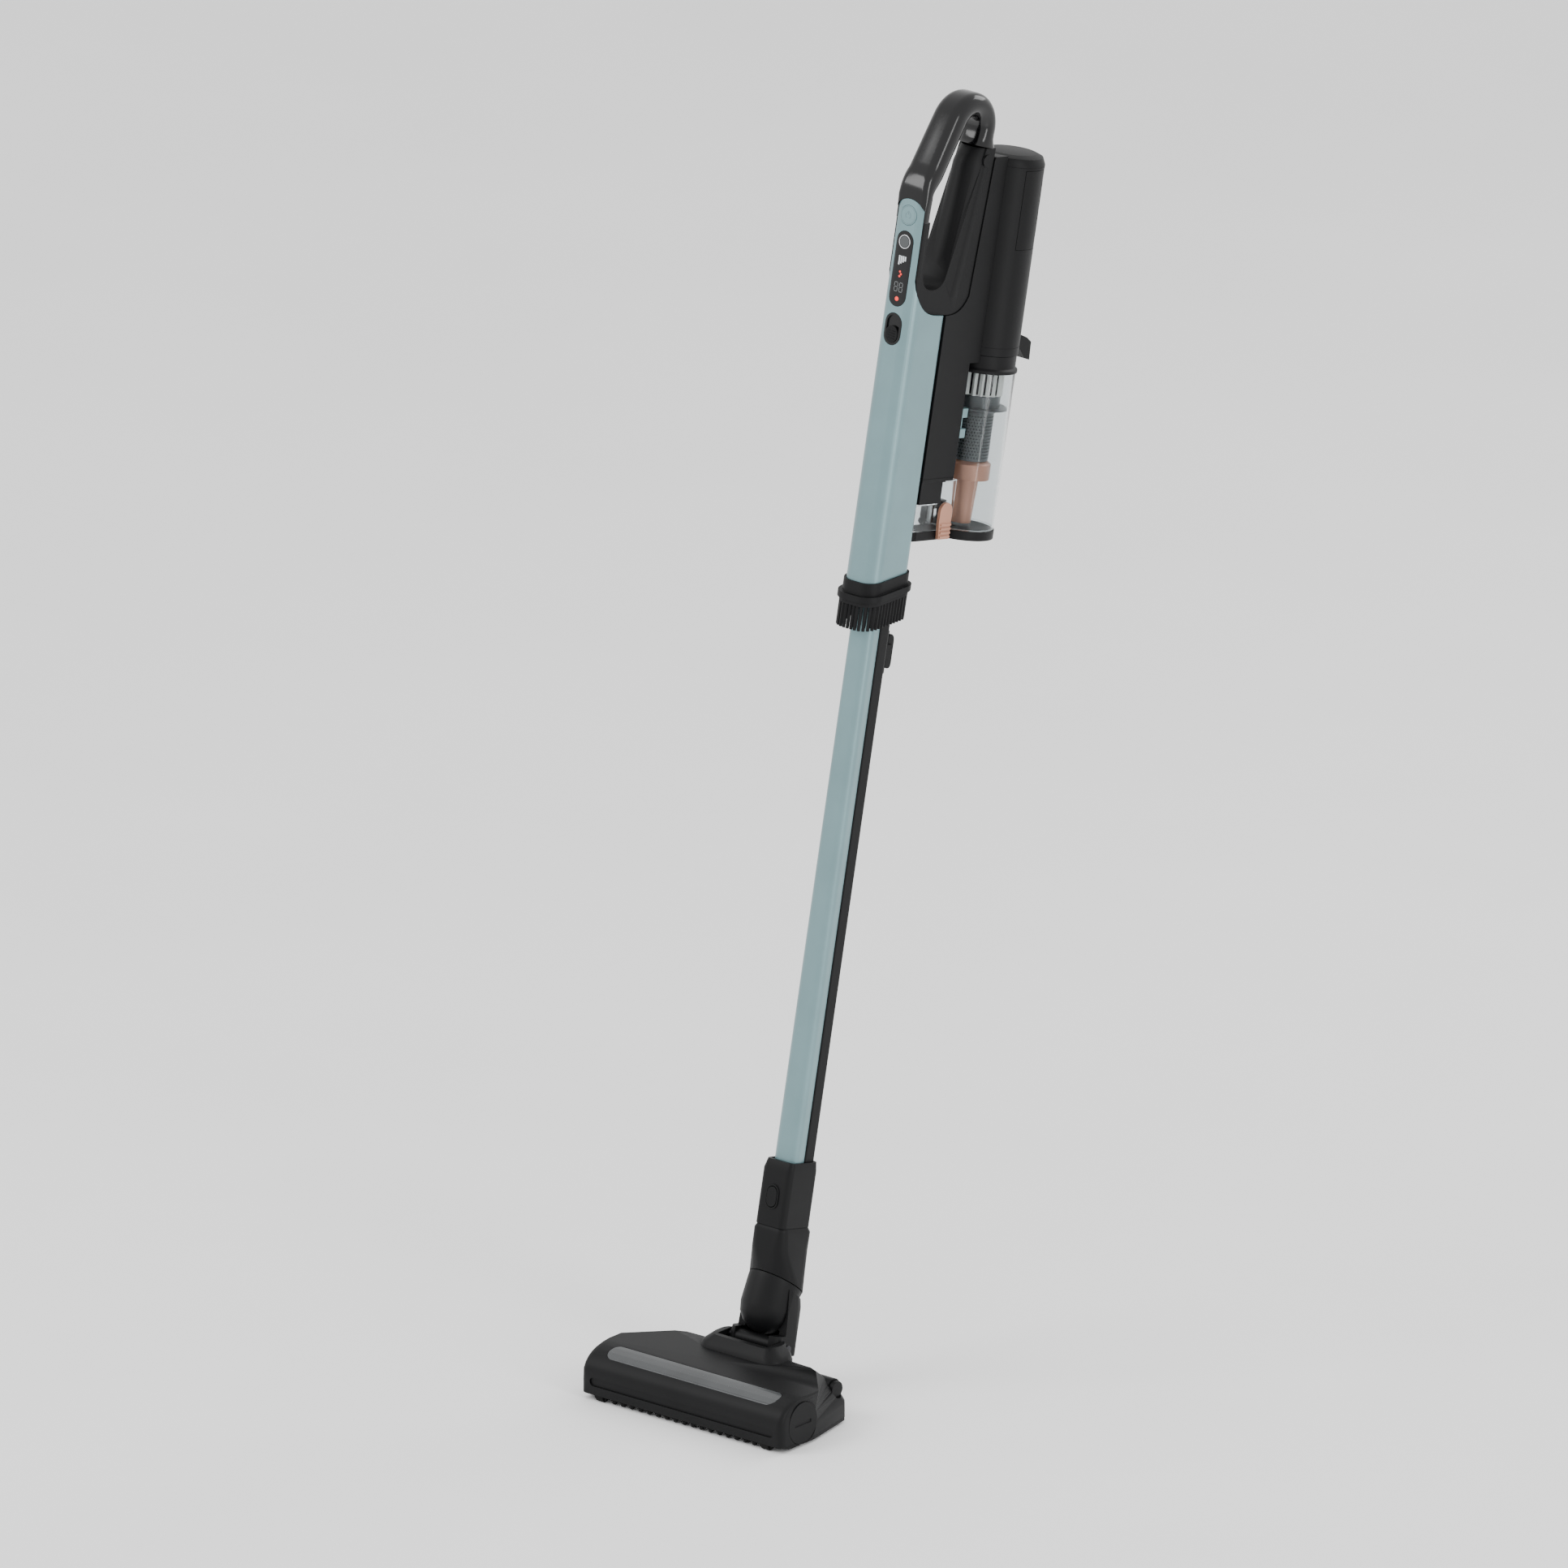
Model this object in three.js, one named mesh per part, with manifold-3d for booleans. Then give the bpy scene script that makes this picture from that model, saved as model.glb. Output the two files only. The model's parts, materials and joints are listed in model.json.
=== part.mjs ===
// Cordless stick vacuum cleaner: floor head, two-axis neck, extension tube and hand unit.
// Millimetres, +Z up, X across the floor head, the head's front edge facing -Y.
// The stick (neck, tube and hand unit) is drawn upright in its own frame: x across, y to the rear,
// z along the tube, with the tube's axis on x = y = 0. The floor head is drawn from its front edge.
import * as THREE from "three";
import { mergeVertices } from "three/addons/utils/BufferGeometryUtils.js";
import Module from "manifold-3d";

const wasm = await Module();
wasm.setup();

// ---------------------------------------------------------------- driving dimensions
const LEAN = THREE.MathUtils.degToRad(12.5); // the stick leans back this far
const GAP = 0.3; // clearance between neighbouring pieces
const TILT_AXIS = { depth: 112, height: 56 }; // from the head's front edge and from the floor
const AXIS_OFFSET = 16; // from the tilt axis back to the tube's axis

const HEAD = { width: 250, depth: 115.5, height: 50, wall: 2.5, bottom: 6.3 };
const WELL = { half: 31.6, front: 92, floor: 24, wall: 2.5 };
const ROLL = { depth: 32.7, height: 24, core: 14, tip: 22.2, left: -104, right: 112, shaft: 4 };
const ROLLER = { x: 103, depth: 5.4, radius: 5, half: 4.6 };
const WHEEL = { x: 88, depth: 99, radius: 8, half: 4.2 };
const KNOB = { depth: 103, height: 34.5, radius: 8, left: 74, right: 104 };

const SEAM = { y: 2, z: 57, tilt: THREE.MathUtils.degToRad(27), radius: 28 };
const NECK = { top: 113, half: 20, front: -23, rear: 23.5 };
const CUFF = { top: 177, half: 18, front: -22.5, rear: 21 };
const TUBE = { foot: 135, top: 790, half: 14, front: -15, split: 3, rear: 18.8, wall: 1.6 };
const LATCH = { low: 660, high: 694, pivotY: 28, pivotZ: 677 };

const SLANT = THREE.MathUtils.degToRad(11); // the hand unit's mouth rises to the rear
const COLLAR = { flangeLow: 735.5, flangeHigh: 741.5, top: 753.5, mouth: 747 };
const POD = { half: 20, front: -28, rear: 29, wall: 2, tongueTop: 1124, split: -24, closed: 1000 };
const STRAP = { inner: -14.3, half: 17.6, join: 1104 }; // the loop's front leg behind the pod's tongue
const GRIP = { radius: 18, y: 46.6, z: 1084, slope: 0.166, low: 1024, high: 1172 };
const BEND = { y: 37.6, z: 1190, radius: 24.8 }; // the loop's top bend
const SPINE = { half: 18, front: 29.3, rear: 76.5, low: 848.3, step: 960, top: 1163, wall: 1.5 };
const CAN = { y: 119, radius: 33, wall: 2.2 }; // motor housing and dust bin share this axis
const MOTOR = { low: 967, high: 1163, ventLow: 1072, ventHigh: 1150 };
const BIN = { low: 795, high: 949, wall: 2, ductHalf: 13, ductFront: 31.3, ductTop: 822.5 };
const LID = { low: 786, high: 794.7, front: 36.5, hingeX: -36.5, hingeZ: 791.5 };

// ---------------------------------------------------------------- materials
const material = (color, roughness, metalness = 0, extra = {}) => () =>
  new THREE.MeshStandardMaterial({ color, roughness, metalness, ...extra });
const teal = material(0x8fabb0, 0.38, 0.35);
const matt = material(0x17181a, 0.62);
const gloss = material(0x08090a, 0.12);
const rubber = material(0x0d0d0e, 0.85);
const bristle = material(0x1a1a1b, 0.9);
const clear = material(0xcfd6d8, 0.08, 0, { transparent: true, opacity: 0.3 });
const copper = material(0xc98d74, 0.4, 0.35);
const smoke = material(0x565a5c, 0.35);
const paper = material(0xdad9d4, 0.9);
const foam = material(0x3a3b3d, 0.95);
const steel = material(0x9b9da0, 0.3, 0.9);
const board = material(0x1f5a38, 0.6);
const cellWrap = material(0x2f6fa8, 0.5);
const windowGrey = material(0x6b7072, 0.2, 0.2);

// ---------------------------------------------------------------- solids
const v3 = (x, y, z) => new THREE.Vector3(x, y, z);
const moved = (x, y, z) => new THREE.Matrix4().makeTranslation(x, y, z);

// A closed geometry as a manifold-3d solid, with its faces turned outwards.
function solid(geometry, matrix) {
  const bare = geometry.index ? geometry.toNonIndexed() : geometry.clone();
  bare.deleteAttribute("normal");
  bare.deleteAttribute("uv");
  if (matrix) bare.applyMatrix4(matrix);
  const merged = mergeVertices(bare, 1e-4);
  const triVerts = new Uint32Array(merged.index.array);
  const vertProperties = new Float32Array(merged.attributes.position.array);
  const make = () => new wasm.Manifold(new wasm.Mesh({ numProp: 3, vertProperties, triVerts }));
  const made = make();
  if (made.volume() >= 0) return made;
  triVerts.reverse();
  return make();
}

function meshOf(name, body, look) {
  const data = body.getMesh();
  const geometry = new THREE.BufferGeometry();
  geometry.setAttribute("position", new THREE.BufferAttribute(data.vertProperties, 3));
  geometry.setIndex(new THREE.BufferAttribute(data.triVerts, 1));
  geometry.computeVertexNormals();
  const mesh = new THREE.Mesh(geometry, look());
  mesh.name = name;
  return mesh;
}

const join = (...bodies) => bodies.reduce((a, b) => a.add(b));
const cut = (body, ...tools) => tools.reduce((a, b) => a.subtract(b), body);

function block(x0, x1, y0, y1, z0, z1) {
  const box = new THREE.BoxGeometry(x1 - x0, y1 - y0, z1 - z0);
  return solid(box, moved((x0 + x1) / 2, (y0 + y1) / 2, (z0 + z1) / 2));
}

// A round rod between two points.
function rod(from, to, radius, segments = 16, endRadius = radius) {
  const along = to.clone().sub(from);
  const shape = new THREE.CylinderGeometry(endRadius, radius, along.length(), segments);
  const turn = new THREE.Quaternion().setFromUnitVectors(v3(0, 1, 0), along.clone().normalize());
  const place = new THREE.Matrix4().compose(from.clone().lerp(to, 0.5), turn, v3(1, 1, 1));
  return solid(shape, place);
}

// Prisms: a shape drawn in x,y and raised along z; drawn in y,z along x; drawn in x,z along y.
function prismZ(shape, low, high, segments = 3) {
  const raised = { depth: high - low, bevelEnabled: false, curveSegments: segments };
  return solid(new THREE.ExtrudeGeometry(shape, raised), moved(0, 0, low));
}

function prismX(shape, low, high, segments = 3) {
  const raised = { depth: high - low, bevelEnabled: false, curveSegments: segments };
  const turn = new THREE.Matrix4().makeBasis(v3(0, 1, 0), v3(0, 0, 1), v3(1, 0, 0));
  return solid(new THREE.ExtrudeGeometry(shape, raised), moved(low, 0, 0).multiply(turn));
}

function prismY(shape, low, high, segments = 3) {
  const raised = { depth: high - low, bevelEnabled: false, curveSegments: segments };
  const turn = new THREE.Matrix4().makeBasis(v3(1, 0, 0), v3(0, 0, 1), v3(0, -1, 0));
  return solid(new THREE.ExtrudeGeometry(shape, raised), moved(0, high, 0).multiply(turn));
}

// A turned body about a vertical axis at (x, y); the profile is a list of [radius, height].
function turned(profile, segments = 32, x = 0, y = 0) {
  const lathe = new THREE.LatheGeometry(profile.map(([r, h]) => new THREE.Vector2(r, h)), segments);
  return solid(lathe, moved(x, y, 0).multiply(new THREE.Matrix4().makeRotationX(Math.PI / 2)));
}

// A turned ring of rectangular section.
function ring(outer, inner, low, high, segments = 32, x = 0, y = 0) {
  const profile = [[inner, low], [outer, low], [outer, high], [inner, high], [inner, low]];
  return turned(profile, segments, x, y);
}

// A closed body through rings of equal length, with flat fan ends.
function loft(rings) {
  const count = rings[0].length;
  const points = rings.flat();
  const index = [];
  for (let i = 0; i < rings.length - 1; i++)
    for (let j = 0; j < count; j++) {
      const a = i * count + j;
      const b = i * count + ((j + 1) % count);
      index.push(a, b, b + count, a, b + count, a + count);
    }
  for (const [ringIndex, flip] of [[0, true], [rings.length - 1, false]]) {
    const middle = rings[ringIndex].reduce((s, p) => s.add(p), v3(0, 0, 0)).divideScalar(count);
    const centre = points.push(middle) - 1;
    for (let j = 0; j < count; j++) {
      const a = ringIndex * count + j;
      const b = ringIndex * count + ((j + 1) % count);
      index.push(...(flip ? [b, a, centre] : [a, b, centre]));
    }
  }
  const geometry = new THREE.BufferGeometry().setFromPoints(points);
  geometry.setIndex(index);
  return solid(geometry);
}

// ---------------------------------------------------------------- outlines
const QUARTER = Math.PI / 2;

// Rounded rectangle centred on x, from front to rear in y, with its own front and rear corners.
function section(half, front, rear, frontRadius, rearRadius = frontRadius) {
  const shape = new THREE.Shape();
  const corners = [
    [half - rearRadius, rear - rearRadius, rearRadius, 0],
    [rearRadius - half, rear - rearRadius, rearRadius, QUARTER],
    [frontRadius - half, front + frontRadius, frontRadius, 2 * QUARTER],
    [half - frontRadius, front + frontRadius, frontRadius, 3 * QUARTER],
  ];
  for (const [x, y, r, start] of corners) shape.absarc(x, y, r, start, start + QUARTER);
  shape.closePath();
  return shape;
}

// Upright slot with round ends, centred on x.
function slot(half, low, high) {
  const shape = new THREE.Shape();
  shape.absarc(0, high - half, half, 0, Math.PI);
  shape.absarc(0, low + half, half, Math.PI, 2 * Math.PI);
  shape.closePath();
  return shape;
}

const outline = (points) => new THREE.Shape(points.map(([x, y]) => new THREE.Vector2(x, y)));

// The same rounded rectangle as a ring of points, for lofts: place turns (x, y) into a point.
function sectionRing(half, front, rear, radius, place, perCorner = 5) {
  const centres = [[half - radius, rear - radius], [radius - half, rear - radius],
    [radius - half, front + radius], [half - radius, front + radius]];
  return centres.flatMap(([x, y], corner) =>
    Array.from({ length: perCorner }, (_, i) => {
      const angle = (corner + i / (perCorner - 1)) * QUARTER;
      return place(x + radius * Math.cos(angle), y + radius * Math.sin(angle));
    }));
}

// A circle as a ring of points that matches sectionRing's order.
function circleRing(radius, place, perCorner = 5) {
  return Array.from({ length: 4 * perCorner }, (_, i) => {
    const angle = ((i + 0.5) / perCorner) * QUARTER;
    return place(radius * Math.cos(angle), radius * Math.sin(angle));
  });
}

const atHeight = (z) => (x, y) => v3(x, y, z);

// A point in the plane of the neck's slanted swivel seam, at a height along the swivel axis.
const SWIVEL = v3(0, Math.sin(SEAM.tilt), Math.cos(SEAM.tilt));
const seamCentre = v3(0, SEAM.y, SEAM.z);
const onSeam = (lift) => (x, y) =>
  v3(x, y * Math.cos(SEAM.tilt), -y * Math.sin(SEAM.tilt)).add(seamCentre).addScaledVector(SWIVEL, lift);
const alongSwivel = (lift) => seamCentre.clone().addScaledVector(SWIVEL, lift);

// A slab between two slanted planes, which cross the tube's axis at the heights given.
function slantedSlab(low, high) {
  const size = 400;
  const box = new THREE.BoxGeometry(size, size, (high - low) * Math.cos(SLANT));
  const turn = new THREE.Matrix4().makeRotationX(SLANT);
  return solid(box, moved(0, 0, (low + high) / 2).multiply(turn));
}

// ---------------------------------------------------------------- groups
const root = new THREE.Group();
const assembly = new THREE.Group();
const head = new THREE.Group();
const lean = new THREE.Group();
const stick = new THREE.Group();
root.add(assembly);
assembly.add(head, lean);
lean.add(stick);
head.position.y = -TILT_AXIS.depth;
lean.position.z = TILT_AXIS.height;
lean.rotation.x = -LEAN;
stick.position.y = AXIS_OFFSET;

const toStick = (name, body, look) => stick.add(meshOf(name, body, look));
const toHead = (name, body, look) => head.add(meshOf(name, body, look));

// ---------------------------------------------------------------- extension tube
const tubeHole = (low, high) =>
  prismZ(section(TUBE.half + GAP, TUBE.front - GAP, TUBE.rear + GAP, 3), low, high);

function channelShape({ half, front, split, wall }, radius) {
  const shape = new THREE.Shape();
  const inner = radius - wall;
  shape.moveTo(half, split);
  shape.absarc(half - radius, front + radius, radius, 0, -QUARTER, true);
  shape.absarc(radius - half, front + radius, radius, -QUARTER, -2 * QUARTER, true);
  shape.lineTo(-half, split);
  shape.lineTo(wall - half, split);
  shape.absarc(radius - half, front + radius, inner, 2 * QUARTER, 3 * QUARTER, false);
  shape.absarc(half - radius, front + radius, inner, 3 * QUARTER, 4 * QUARTER, false);
  shape.lineTo(half - wall, split);
  shape.closePath();
  return shape;
}

function makeTube() {
  const cornerRadius = 9;
  toStick("tube_front_profile", prismZ(channelShape(TUBE, cornerRadius), TUBE.foot, TUBE.top), teal);
  const cable = section(TUBE.half - 0.5, TUBE.split + GAP, TUBE.rear, 1.5, 4);
  cable.holes.push(section(TUBE.half - 2.5, TUBE.split + 2.3, TUBE.rear - 2, 1, 2.2));
  toStick("tube_cable_channel", prismZ(cable, TUBE.foot, TUBE.top), matt);
}

// The rocker that frees the tube from the hand unit, on the tube's rear.
function makeTubeLatch() {
  const base = TUBE.rear + GAP;
  const lever = { half: 7, y0: LATCH.pivotY - 2, y1: LATCH.pivotY + 6.5 };
  const pinHole = rod(v3(-12, LATCH.pivotY, LATCH.pivotZ), v3(12, LATCH.pivotY, LATCH.pivotZ), 1.8, 12);
  const ear = (x0, x1) => block(x0, x1, base + 4, LATCH.pivotY + 3, LATCH.pivotZ - 7, LATCH.pivotZ + 7);
  const plate = block(-9, 9, base, base + 4.1, LATCH.low - 4, LATCH.high + 4);
  const pin = rod(v3(-8.9, LATCH.pivotY, LATCH.pivotZ), v3(8.9, LATCH.pivotY, LATCH.pivotZ), 1.4, 10);
  toStick("tube_latch_base", join(plate, ear(-9, -7.4), ear(7.4, 9), pin), matt);
  const side = new THREE.Shape();
  side.moveTo(lever.y0, LATCH.low + 3);
  side.quadraticCurveTo(lever.y0, LATCH.low, lever.y0 + 4, LATCH.low);
  side.lineTo(lever.y1 - 4, LATCH.low);
  side.quadraticCurveTo(lever.y1, LATCH.low, lever.y1, LATCH.low + 6);
  side.lineTo(lever.y1, LATCH.high - 8);
  side.quadraticCurveTo(lever.y1, LATCH.high, lever.y0 + 2, LATCH.high);
  side.lineTo(lever.y0, LATCH.high - 3);
  toStick("tube_latch_lever", cut(prismX(side, -lever.half, lever.half, 4), pinHole), matt);
}

// ---------------------------------------------------------------- lower coupling and neck
function makeCuff() {
  const buttonZ = 142;
  const body = loft([
    sectionRing(CUFF.half, CUFF.front, CUFF.rear, 6, atHeight(NECK.top + GAP)),
    sectionRing(CUFF.half, CUFF.front, CUFF.rear, 6, atHeight(CUFF.top - 9)),
    sectionRing(CUFF.half - 1.6, CUFF.front + 3, CUFF.rear - 0.5, 5, atHeight(CUFF.top)),
  ]);
  const spigot = prismZ(section(NECK.half - 6, -14, 14, 4), 78, NECK.top + 1);
  const rim = prismY(slot(7.7, buttonZ - 12.3, buttonZ + 12.3), CUFF.front - 1, CUFF.front + 1, 4);
  const pocket = prismY(slot(6.3, buttonZ - 10.7, buttonZ + 10.7), CUFF.front - 3, CUFF.front + 4.6, 4);
  const duct = prismZ(section(10.5, -10.5, 10.5, 3), 70, TUBE.foot + 1);
  const socket = tubeHole(TUBE.foot - GAP, CUFF.top + 1);
  toStick("tube_cuff", cut(join(body, spigot, rim), pocket, duct, socket), matt);
  const cap = prismY(slot(5.9, buttonZ - 10, buttonZ + 10), CUFF.front - 1.4, CUFF.front + 2.2, 4);
  toStick("head_release_button", cap, matt);
}

function makeUpperNeck() {
  const body = loft([
    sectionRing(NECK.half - 2, NECK.front + 2, NECK.rear - 2.5, 7, atHeight(NECK.top)),
    sectionRing(NECK.half, NECK.front, NECK.rear, 8, atHeight(NECK.top - 4)),
    sectionRing(NECK.half + 1, NECK.front - 0.5, NECK.rear + 0.5, 11, atHeight(92)),
    circleRing(SEAM.radius, onSeam(GAP)),
  ]);
  const socket = prismZ(section(NECK.half - 5.7, -14.3, 14.3, 3.7), 77.7, NECK.top + 1);
  const bore = rod(alongSwivel(-5), alongSwivel(10.6), 20.4, 28);
  const duct = prismZ(section(10, -10, 10, 3), 50, 80);
  toStick("neck_upper", cut(body, socket, bore, duct), matt);
}

// The knuckle's outer form, shrunk by inset: from the swivel seam down to a ball end.
function knuckleForm(inset, topLift) {
  const ball = { y: -6, z: 33, radius: 26.6, tilt: THREE.MathUtils.degToRad(12) };
  const normal = v3(0, Math.sin(ball.tilt), Math.cos(ball.tilt));
  const across = v3(0, Math.cos(ball.tilt), -Math.sin(ball.tilt));
  const centre = v3(0, ball.y, ball.z);
  const ballRing = (angle) => {
    const r = (ball.radius - inset) * Math.cos(angle);
    const drop = (ball.radius - inset) * Math.sin(angle);
    return circleRing(r, (x, y) =>
      v3(x, 0, 0).addScaledVector(across, y).add(centre).addScaledVector(normal, -drop));
  };
  const angles = [0, 22, 42, 60, 75, 86].map((a) => THREE.MathUtils.degToRad(a));
  return loft([
    circleRing(SEAM.radius - 0.3 - inset, onSeam(topLift)),
    circleRing(SEAM.radius - 0.8 - inset, onSeam(-6)),
    ...angles.map(ballRing),
  ]);
}

function makeLowerNeck() {
  const sleeve = rod(alongSwivel(-6), alongSwivel(10), 20, 28);
  const passage = rod(alongSwivel(-9), alongSwivel(12), 16.5, 24);
  toStick("neck_knuckle", cut(join(knuckleForm(0, -GAP), sleeve), knuckleForm(9, 0), passage), matt);
  // the yoke stands behind the knuckle and carries it on two arms
  const envelope = loft([
    circleRing(SEAM.radius + 0.2, onSeam(-5)),
    sectionRing(28.5, -22, 19.6, 15, atHeight(36)),
    sectionRing(29.6, -24, 15, 10, atHeight(12)),
    sectionRing(30, -24.5, 12, 6, atHeight(-10)),
  ]);
  const front = block(-50, 50, -60, -9, 10, 90);
  const frontTop = rod(alongSwivel(-6.5), alongSwivel(20), 60, 24);
  const between = block(-20.9, 20.9, -60, 3.5, -20, 14);
  const forward = block(-50, 50, -60, -AXIS_OFFSET - 9, -20, 12);
  const pinHole = rod(v3(-40, -AXIS_OFFSET, 0), v3(40, -AXIS_OFFSET, 0), 4.4, 20);
  const lip = outline([[7, -4.3], [10.5, -9], [14, -9], [13.5, -3], [12, 1.5]]);
  const body = join(envelope, prismX(lip, -13, 13));
  const yoke = cut(body, knuckleForm(-0.5, 6), front, frontTop, between, forward);
  const barrel = rod(v3(-22, -AXIS_OFFSET, 0), v3(22, -AXIS_OFFSET, 0), 7.6, 20);
  toStick("neck_yoke", cut(join(yoke, barrel), pinHole), matt);
}

// ---------------------------------------------------------------- hand unit: pod and controls
const DISPLAY = { half: 10.1, low: 1018.6, high: 1092.6 };
const MODE = { z: 1082, radius: 5.5 };
const POWER = { z: 1108, radius: 9.7 };
const SLIDER = { half: 10, low: 980.6, high: 1012 };

function podForm() {
  const body = prismZ(section(POD.half, POD.front, POD.rear, 14, 10), 720, POD.tongueTop + 2, 4);
  const face = slot(POD.half, 700, POD.tongueTop);
  return cut(body.intersect(prismY(face, -60, 60, 8)), slantedSlab(500, COLLAR.mouth));
}

// The loop's edge on the pod: up the tongue's back and round under the loop's bottom bend.
function podRearCut() {
  const shape = new THREE.Shape();
  shape.moveTo(POD.split, 1140);
  shape.lineTo(POD.split, 1046);
  shape.quadraticCurveTo(-20, 1013, 12, 1011);
  shape.lineTo(33, 1009.6);
  shape.lineTo(60, 1009.6);
  shape.lineTo(60, 1140);
  return prismX(shape, -40, 40, 8);
}

const slotCut = (half, low, high, y0, y1) => prismY(slot(half, low, high), y0, y1, 5);
const discCut = (radius, z, y0, y1) => rod(v3(0, y0, z), v3(0, y1, z), radius, 28);

function makePod() {
  const inner = POD.wall;
  const room = section(POD.half - inner, POD.front + inner, POD.rear - inner, 12, 8);
  const hollow = prismZ(room, 700, POD.closed, 4);
  const tongueHollow = block(-11.8, 11.8, POD.front + 2.8, POD.split + 20, 990, 1097);
  const shell = cut(podForm(), podRearCut(), hollow, tongueHollow,
    slotCut(DISPLAY.half + GAP, DISPLAY.low - GAP, DISPLAY.high + GAP, -40, -24),
    slotCut(SLIDER.half + GAP, SLIDER.low - GAP, SLIDER.high + GAP, -40, -24),
    discCut(POWER.radius + GAP, POWER.z, -40, -20),
    block(-10.5, 10.5, 20, 40, 799, 817));
  toStick("pod_shell", shell, teal);
  const outer = podForm();
  const glass = slotCut(DISPLAY.half, DISPLAY.low, DISPLAY.high, -40, -26);
  toStick("display_window", cut(outer.intersect(glass), discCut(MODE.radius + GAP, MODE.z, -40, -20)), gloss);
  const bezel = slotCut(SLIDER.half, SLIDER.low, SLIDER.high, -40, -25);
  const track = slotCut(7.6, SLIDER.low + 2, SLIDER.high - 2, -40, -26.2);
  toStick("slider_bezel", cut(outer.intersect(bezel), track), gloss);
  toStick("release_slider", slotCut(7.2, SLIDER.low + 2.4, SLIDER.low + 19, -28.8, -26.5), matt);
  toStick("mode_button", rod(v3(0, -28.6, MODE.z), v3(0, -24.2, MODE.z), MODE.radius, 24), smoke);
  toStick("power_button", rod(v3(0, -28.3, POWER.z), v3(0, -25.2, POWER.z), POWER.radius, 28), teal);
}

// The socket in the pod's mouth that the tube plugs into.
function makeNozzleSocket() {
  const w = POD.wall + GAP;
  const outer = prismZ(section(POD.half - w, POD.front + w, POD.rear - w, 11.7, 7.7), 720, 786, 4);
  const body = cut(outer, tubeHole(700, 800), slantedSlab(500, COLLAR.mouth + GAP));
  toStick("nozzle_socket", body, matt);
}

// ---------------------------------------------------------------- hand unit: brush collar
function makeCollar() {
  const flangeShape = section(25.5, -34, 35, 18, 15);
  const bandShape = section(22, -30.3, 31.3, 15.5, 11.5);
  const flange = prismZ(flangeShape, 700, 800, 4).intersect(slantedSlab(COLLAR.flangeLow, COLLAR.flangeHigh));
  const band = prismZ(bandShape, 700, 800, 4).intersect(slantedSlab(COLLAR.flangeHigh - 1, COLLAR.top));
  const podShape = section(POD.half + GAP, POD.front - GAP, POD.rear + GAP, 14.3, 10.3);
  const podHole = cut(prismZ(podShape, 700, 800, 4), slantedSlab(500, COLLAR.mouth - GAP));
  const tubePass = prismZ(section(TUBE.half + 0.8, TUBE.front - 0.8, TUBE.rear + 0.8, 3), 680, 820);
  toStick("brush_collar", cut(join(flange, band), podHole, tubePass), matt);
}

function makeDustBrush() {
  const count = 42;
  const top = COLLAR.flangeLow - GAP;
  const carrier = cut(
    prismZ(section(23.4, -31.8, 32.8, 16, 13), 680, 800, 3).intersect(slantedSlab(top - 4, top)),
    prismZ(section(19.6, -28, 29, 12.5, 9.5), 680, 800, 3));
  const row = section(21.6, -30, 31, 14.5, 11.5).getSpacedPoints(count).slice(0, count);
  const tufts = row.map(({ x, y }) => {
    const z = top - 2 + y * Math.tan(SLANT);
    return rod(v3(x, y, z - 26), v3(x, y, z), 1.7, 5, 1.8);
  });
  toStick("dusting_brush", join(carrier, ...tufts), bristle);
}

// ---------------------------------------------------------------- hand unit: handle loop
const gripY = (z) => GRIP.y + (z - GRIP.z) * GRIP.slope;

function gripForm(grow) {
  const low = v3(0, gripY(GRIP.low), GRIP.low);
  const high = v3(0, gripY(GRIP.high), GRIP.high);
  const along = high.clone().sub(low).normalize();
  const place = (lift) => (x, y) => v3(x, y, 0).add(low).addScaledVector(along, lift);
  const r = GRIP.radius + grow;
  const length = high.distanceTo(low);
  return loft([
    circleRing(r - 9, place(-9 - grow), 7), circleRing(r - 3, place(-4 - grow), 7),
    circleRing(r, place(4), 7), circleRing(r, place(length - 17), 7),
    circleRing(r - 1.6, place(length - 9), 7),
    circleRing(r, (x, y) => place(length)((x * 15.4) / r, (y * 12) / r), 7),
  ]);
}

// Outer edge of the loop's bottom bend and of the band behind the grip, moved out by grow.
function frameEdge(shape, grow) {
  shape.quadraticCurveTo(-19.2 - grow, 1013.8 - grow, 12, 1011.4 - grow);
  shape.lineTo(33, 1010 - grow);
  shape.quadraticCurveTo(52 + grow, 1010 - grow, 60.5 + grow, 1027);
  shape.lineTo(71 + grow, GRIP.high);
}

function makeGripFrame() {
  const side = new THREE.Shape();
  side.moveTo(POD.split + GAP, STRAP.join - GAP);
  side.lineTo(POD.split + GAP, 1050);
  frameEdge(side, 0);
  side.lineTo(gripY(GRIP.high) - 4, GRIP.high);
  side.lineTo(22, 1050);
  side.quadraticCurveTo(19, 1036, 4, 1036);
  side.quadraticCurveTo(STRAP.inner, 1036, STRAP.inner, 1056);
  side.lineTo(STRAP.inner, STRAP.join - GAP);
  const plate = prismX(side, -17, 17, 8);
  const strap = prismZ(section(STRAP.half, POD.split + GAP, STRAP.inner, 1, 5), 1050, STRAP.join - GAP, 3);
  const boardBay = block(-14.8, 14.8, -30, -18.5, 1046, 1096);
  const capY = gripY(1160);
  const screwCap = rod(v3(12, capY, 1160), v3(18.5, capY, 1160), 6, 20);
  toStick("grip_frame", cut(join(plate, strap, gripForm(0), screwCap), boardBay), matt);
  toStick("control_board", block(-14.4, 14.4, -23, -21.4, 1047, 1095), board);
}

// One station of the handle: centre, direction (0 = up, clockwise to the rear), half sizes.
function handleRing(y, z, turn, half, thick, radius) {
  const outward = v3(0, -Math.cos(turn), Math.sin(turn));
  return sectionRing(half, -thick, thick, radius, (x, s) => v3(x, y, z).addScaledVector(outward, -s), 5);
}

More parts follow.
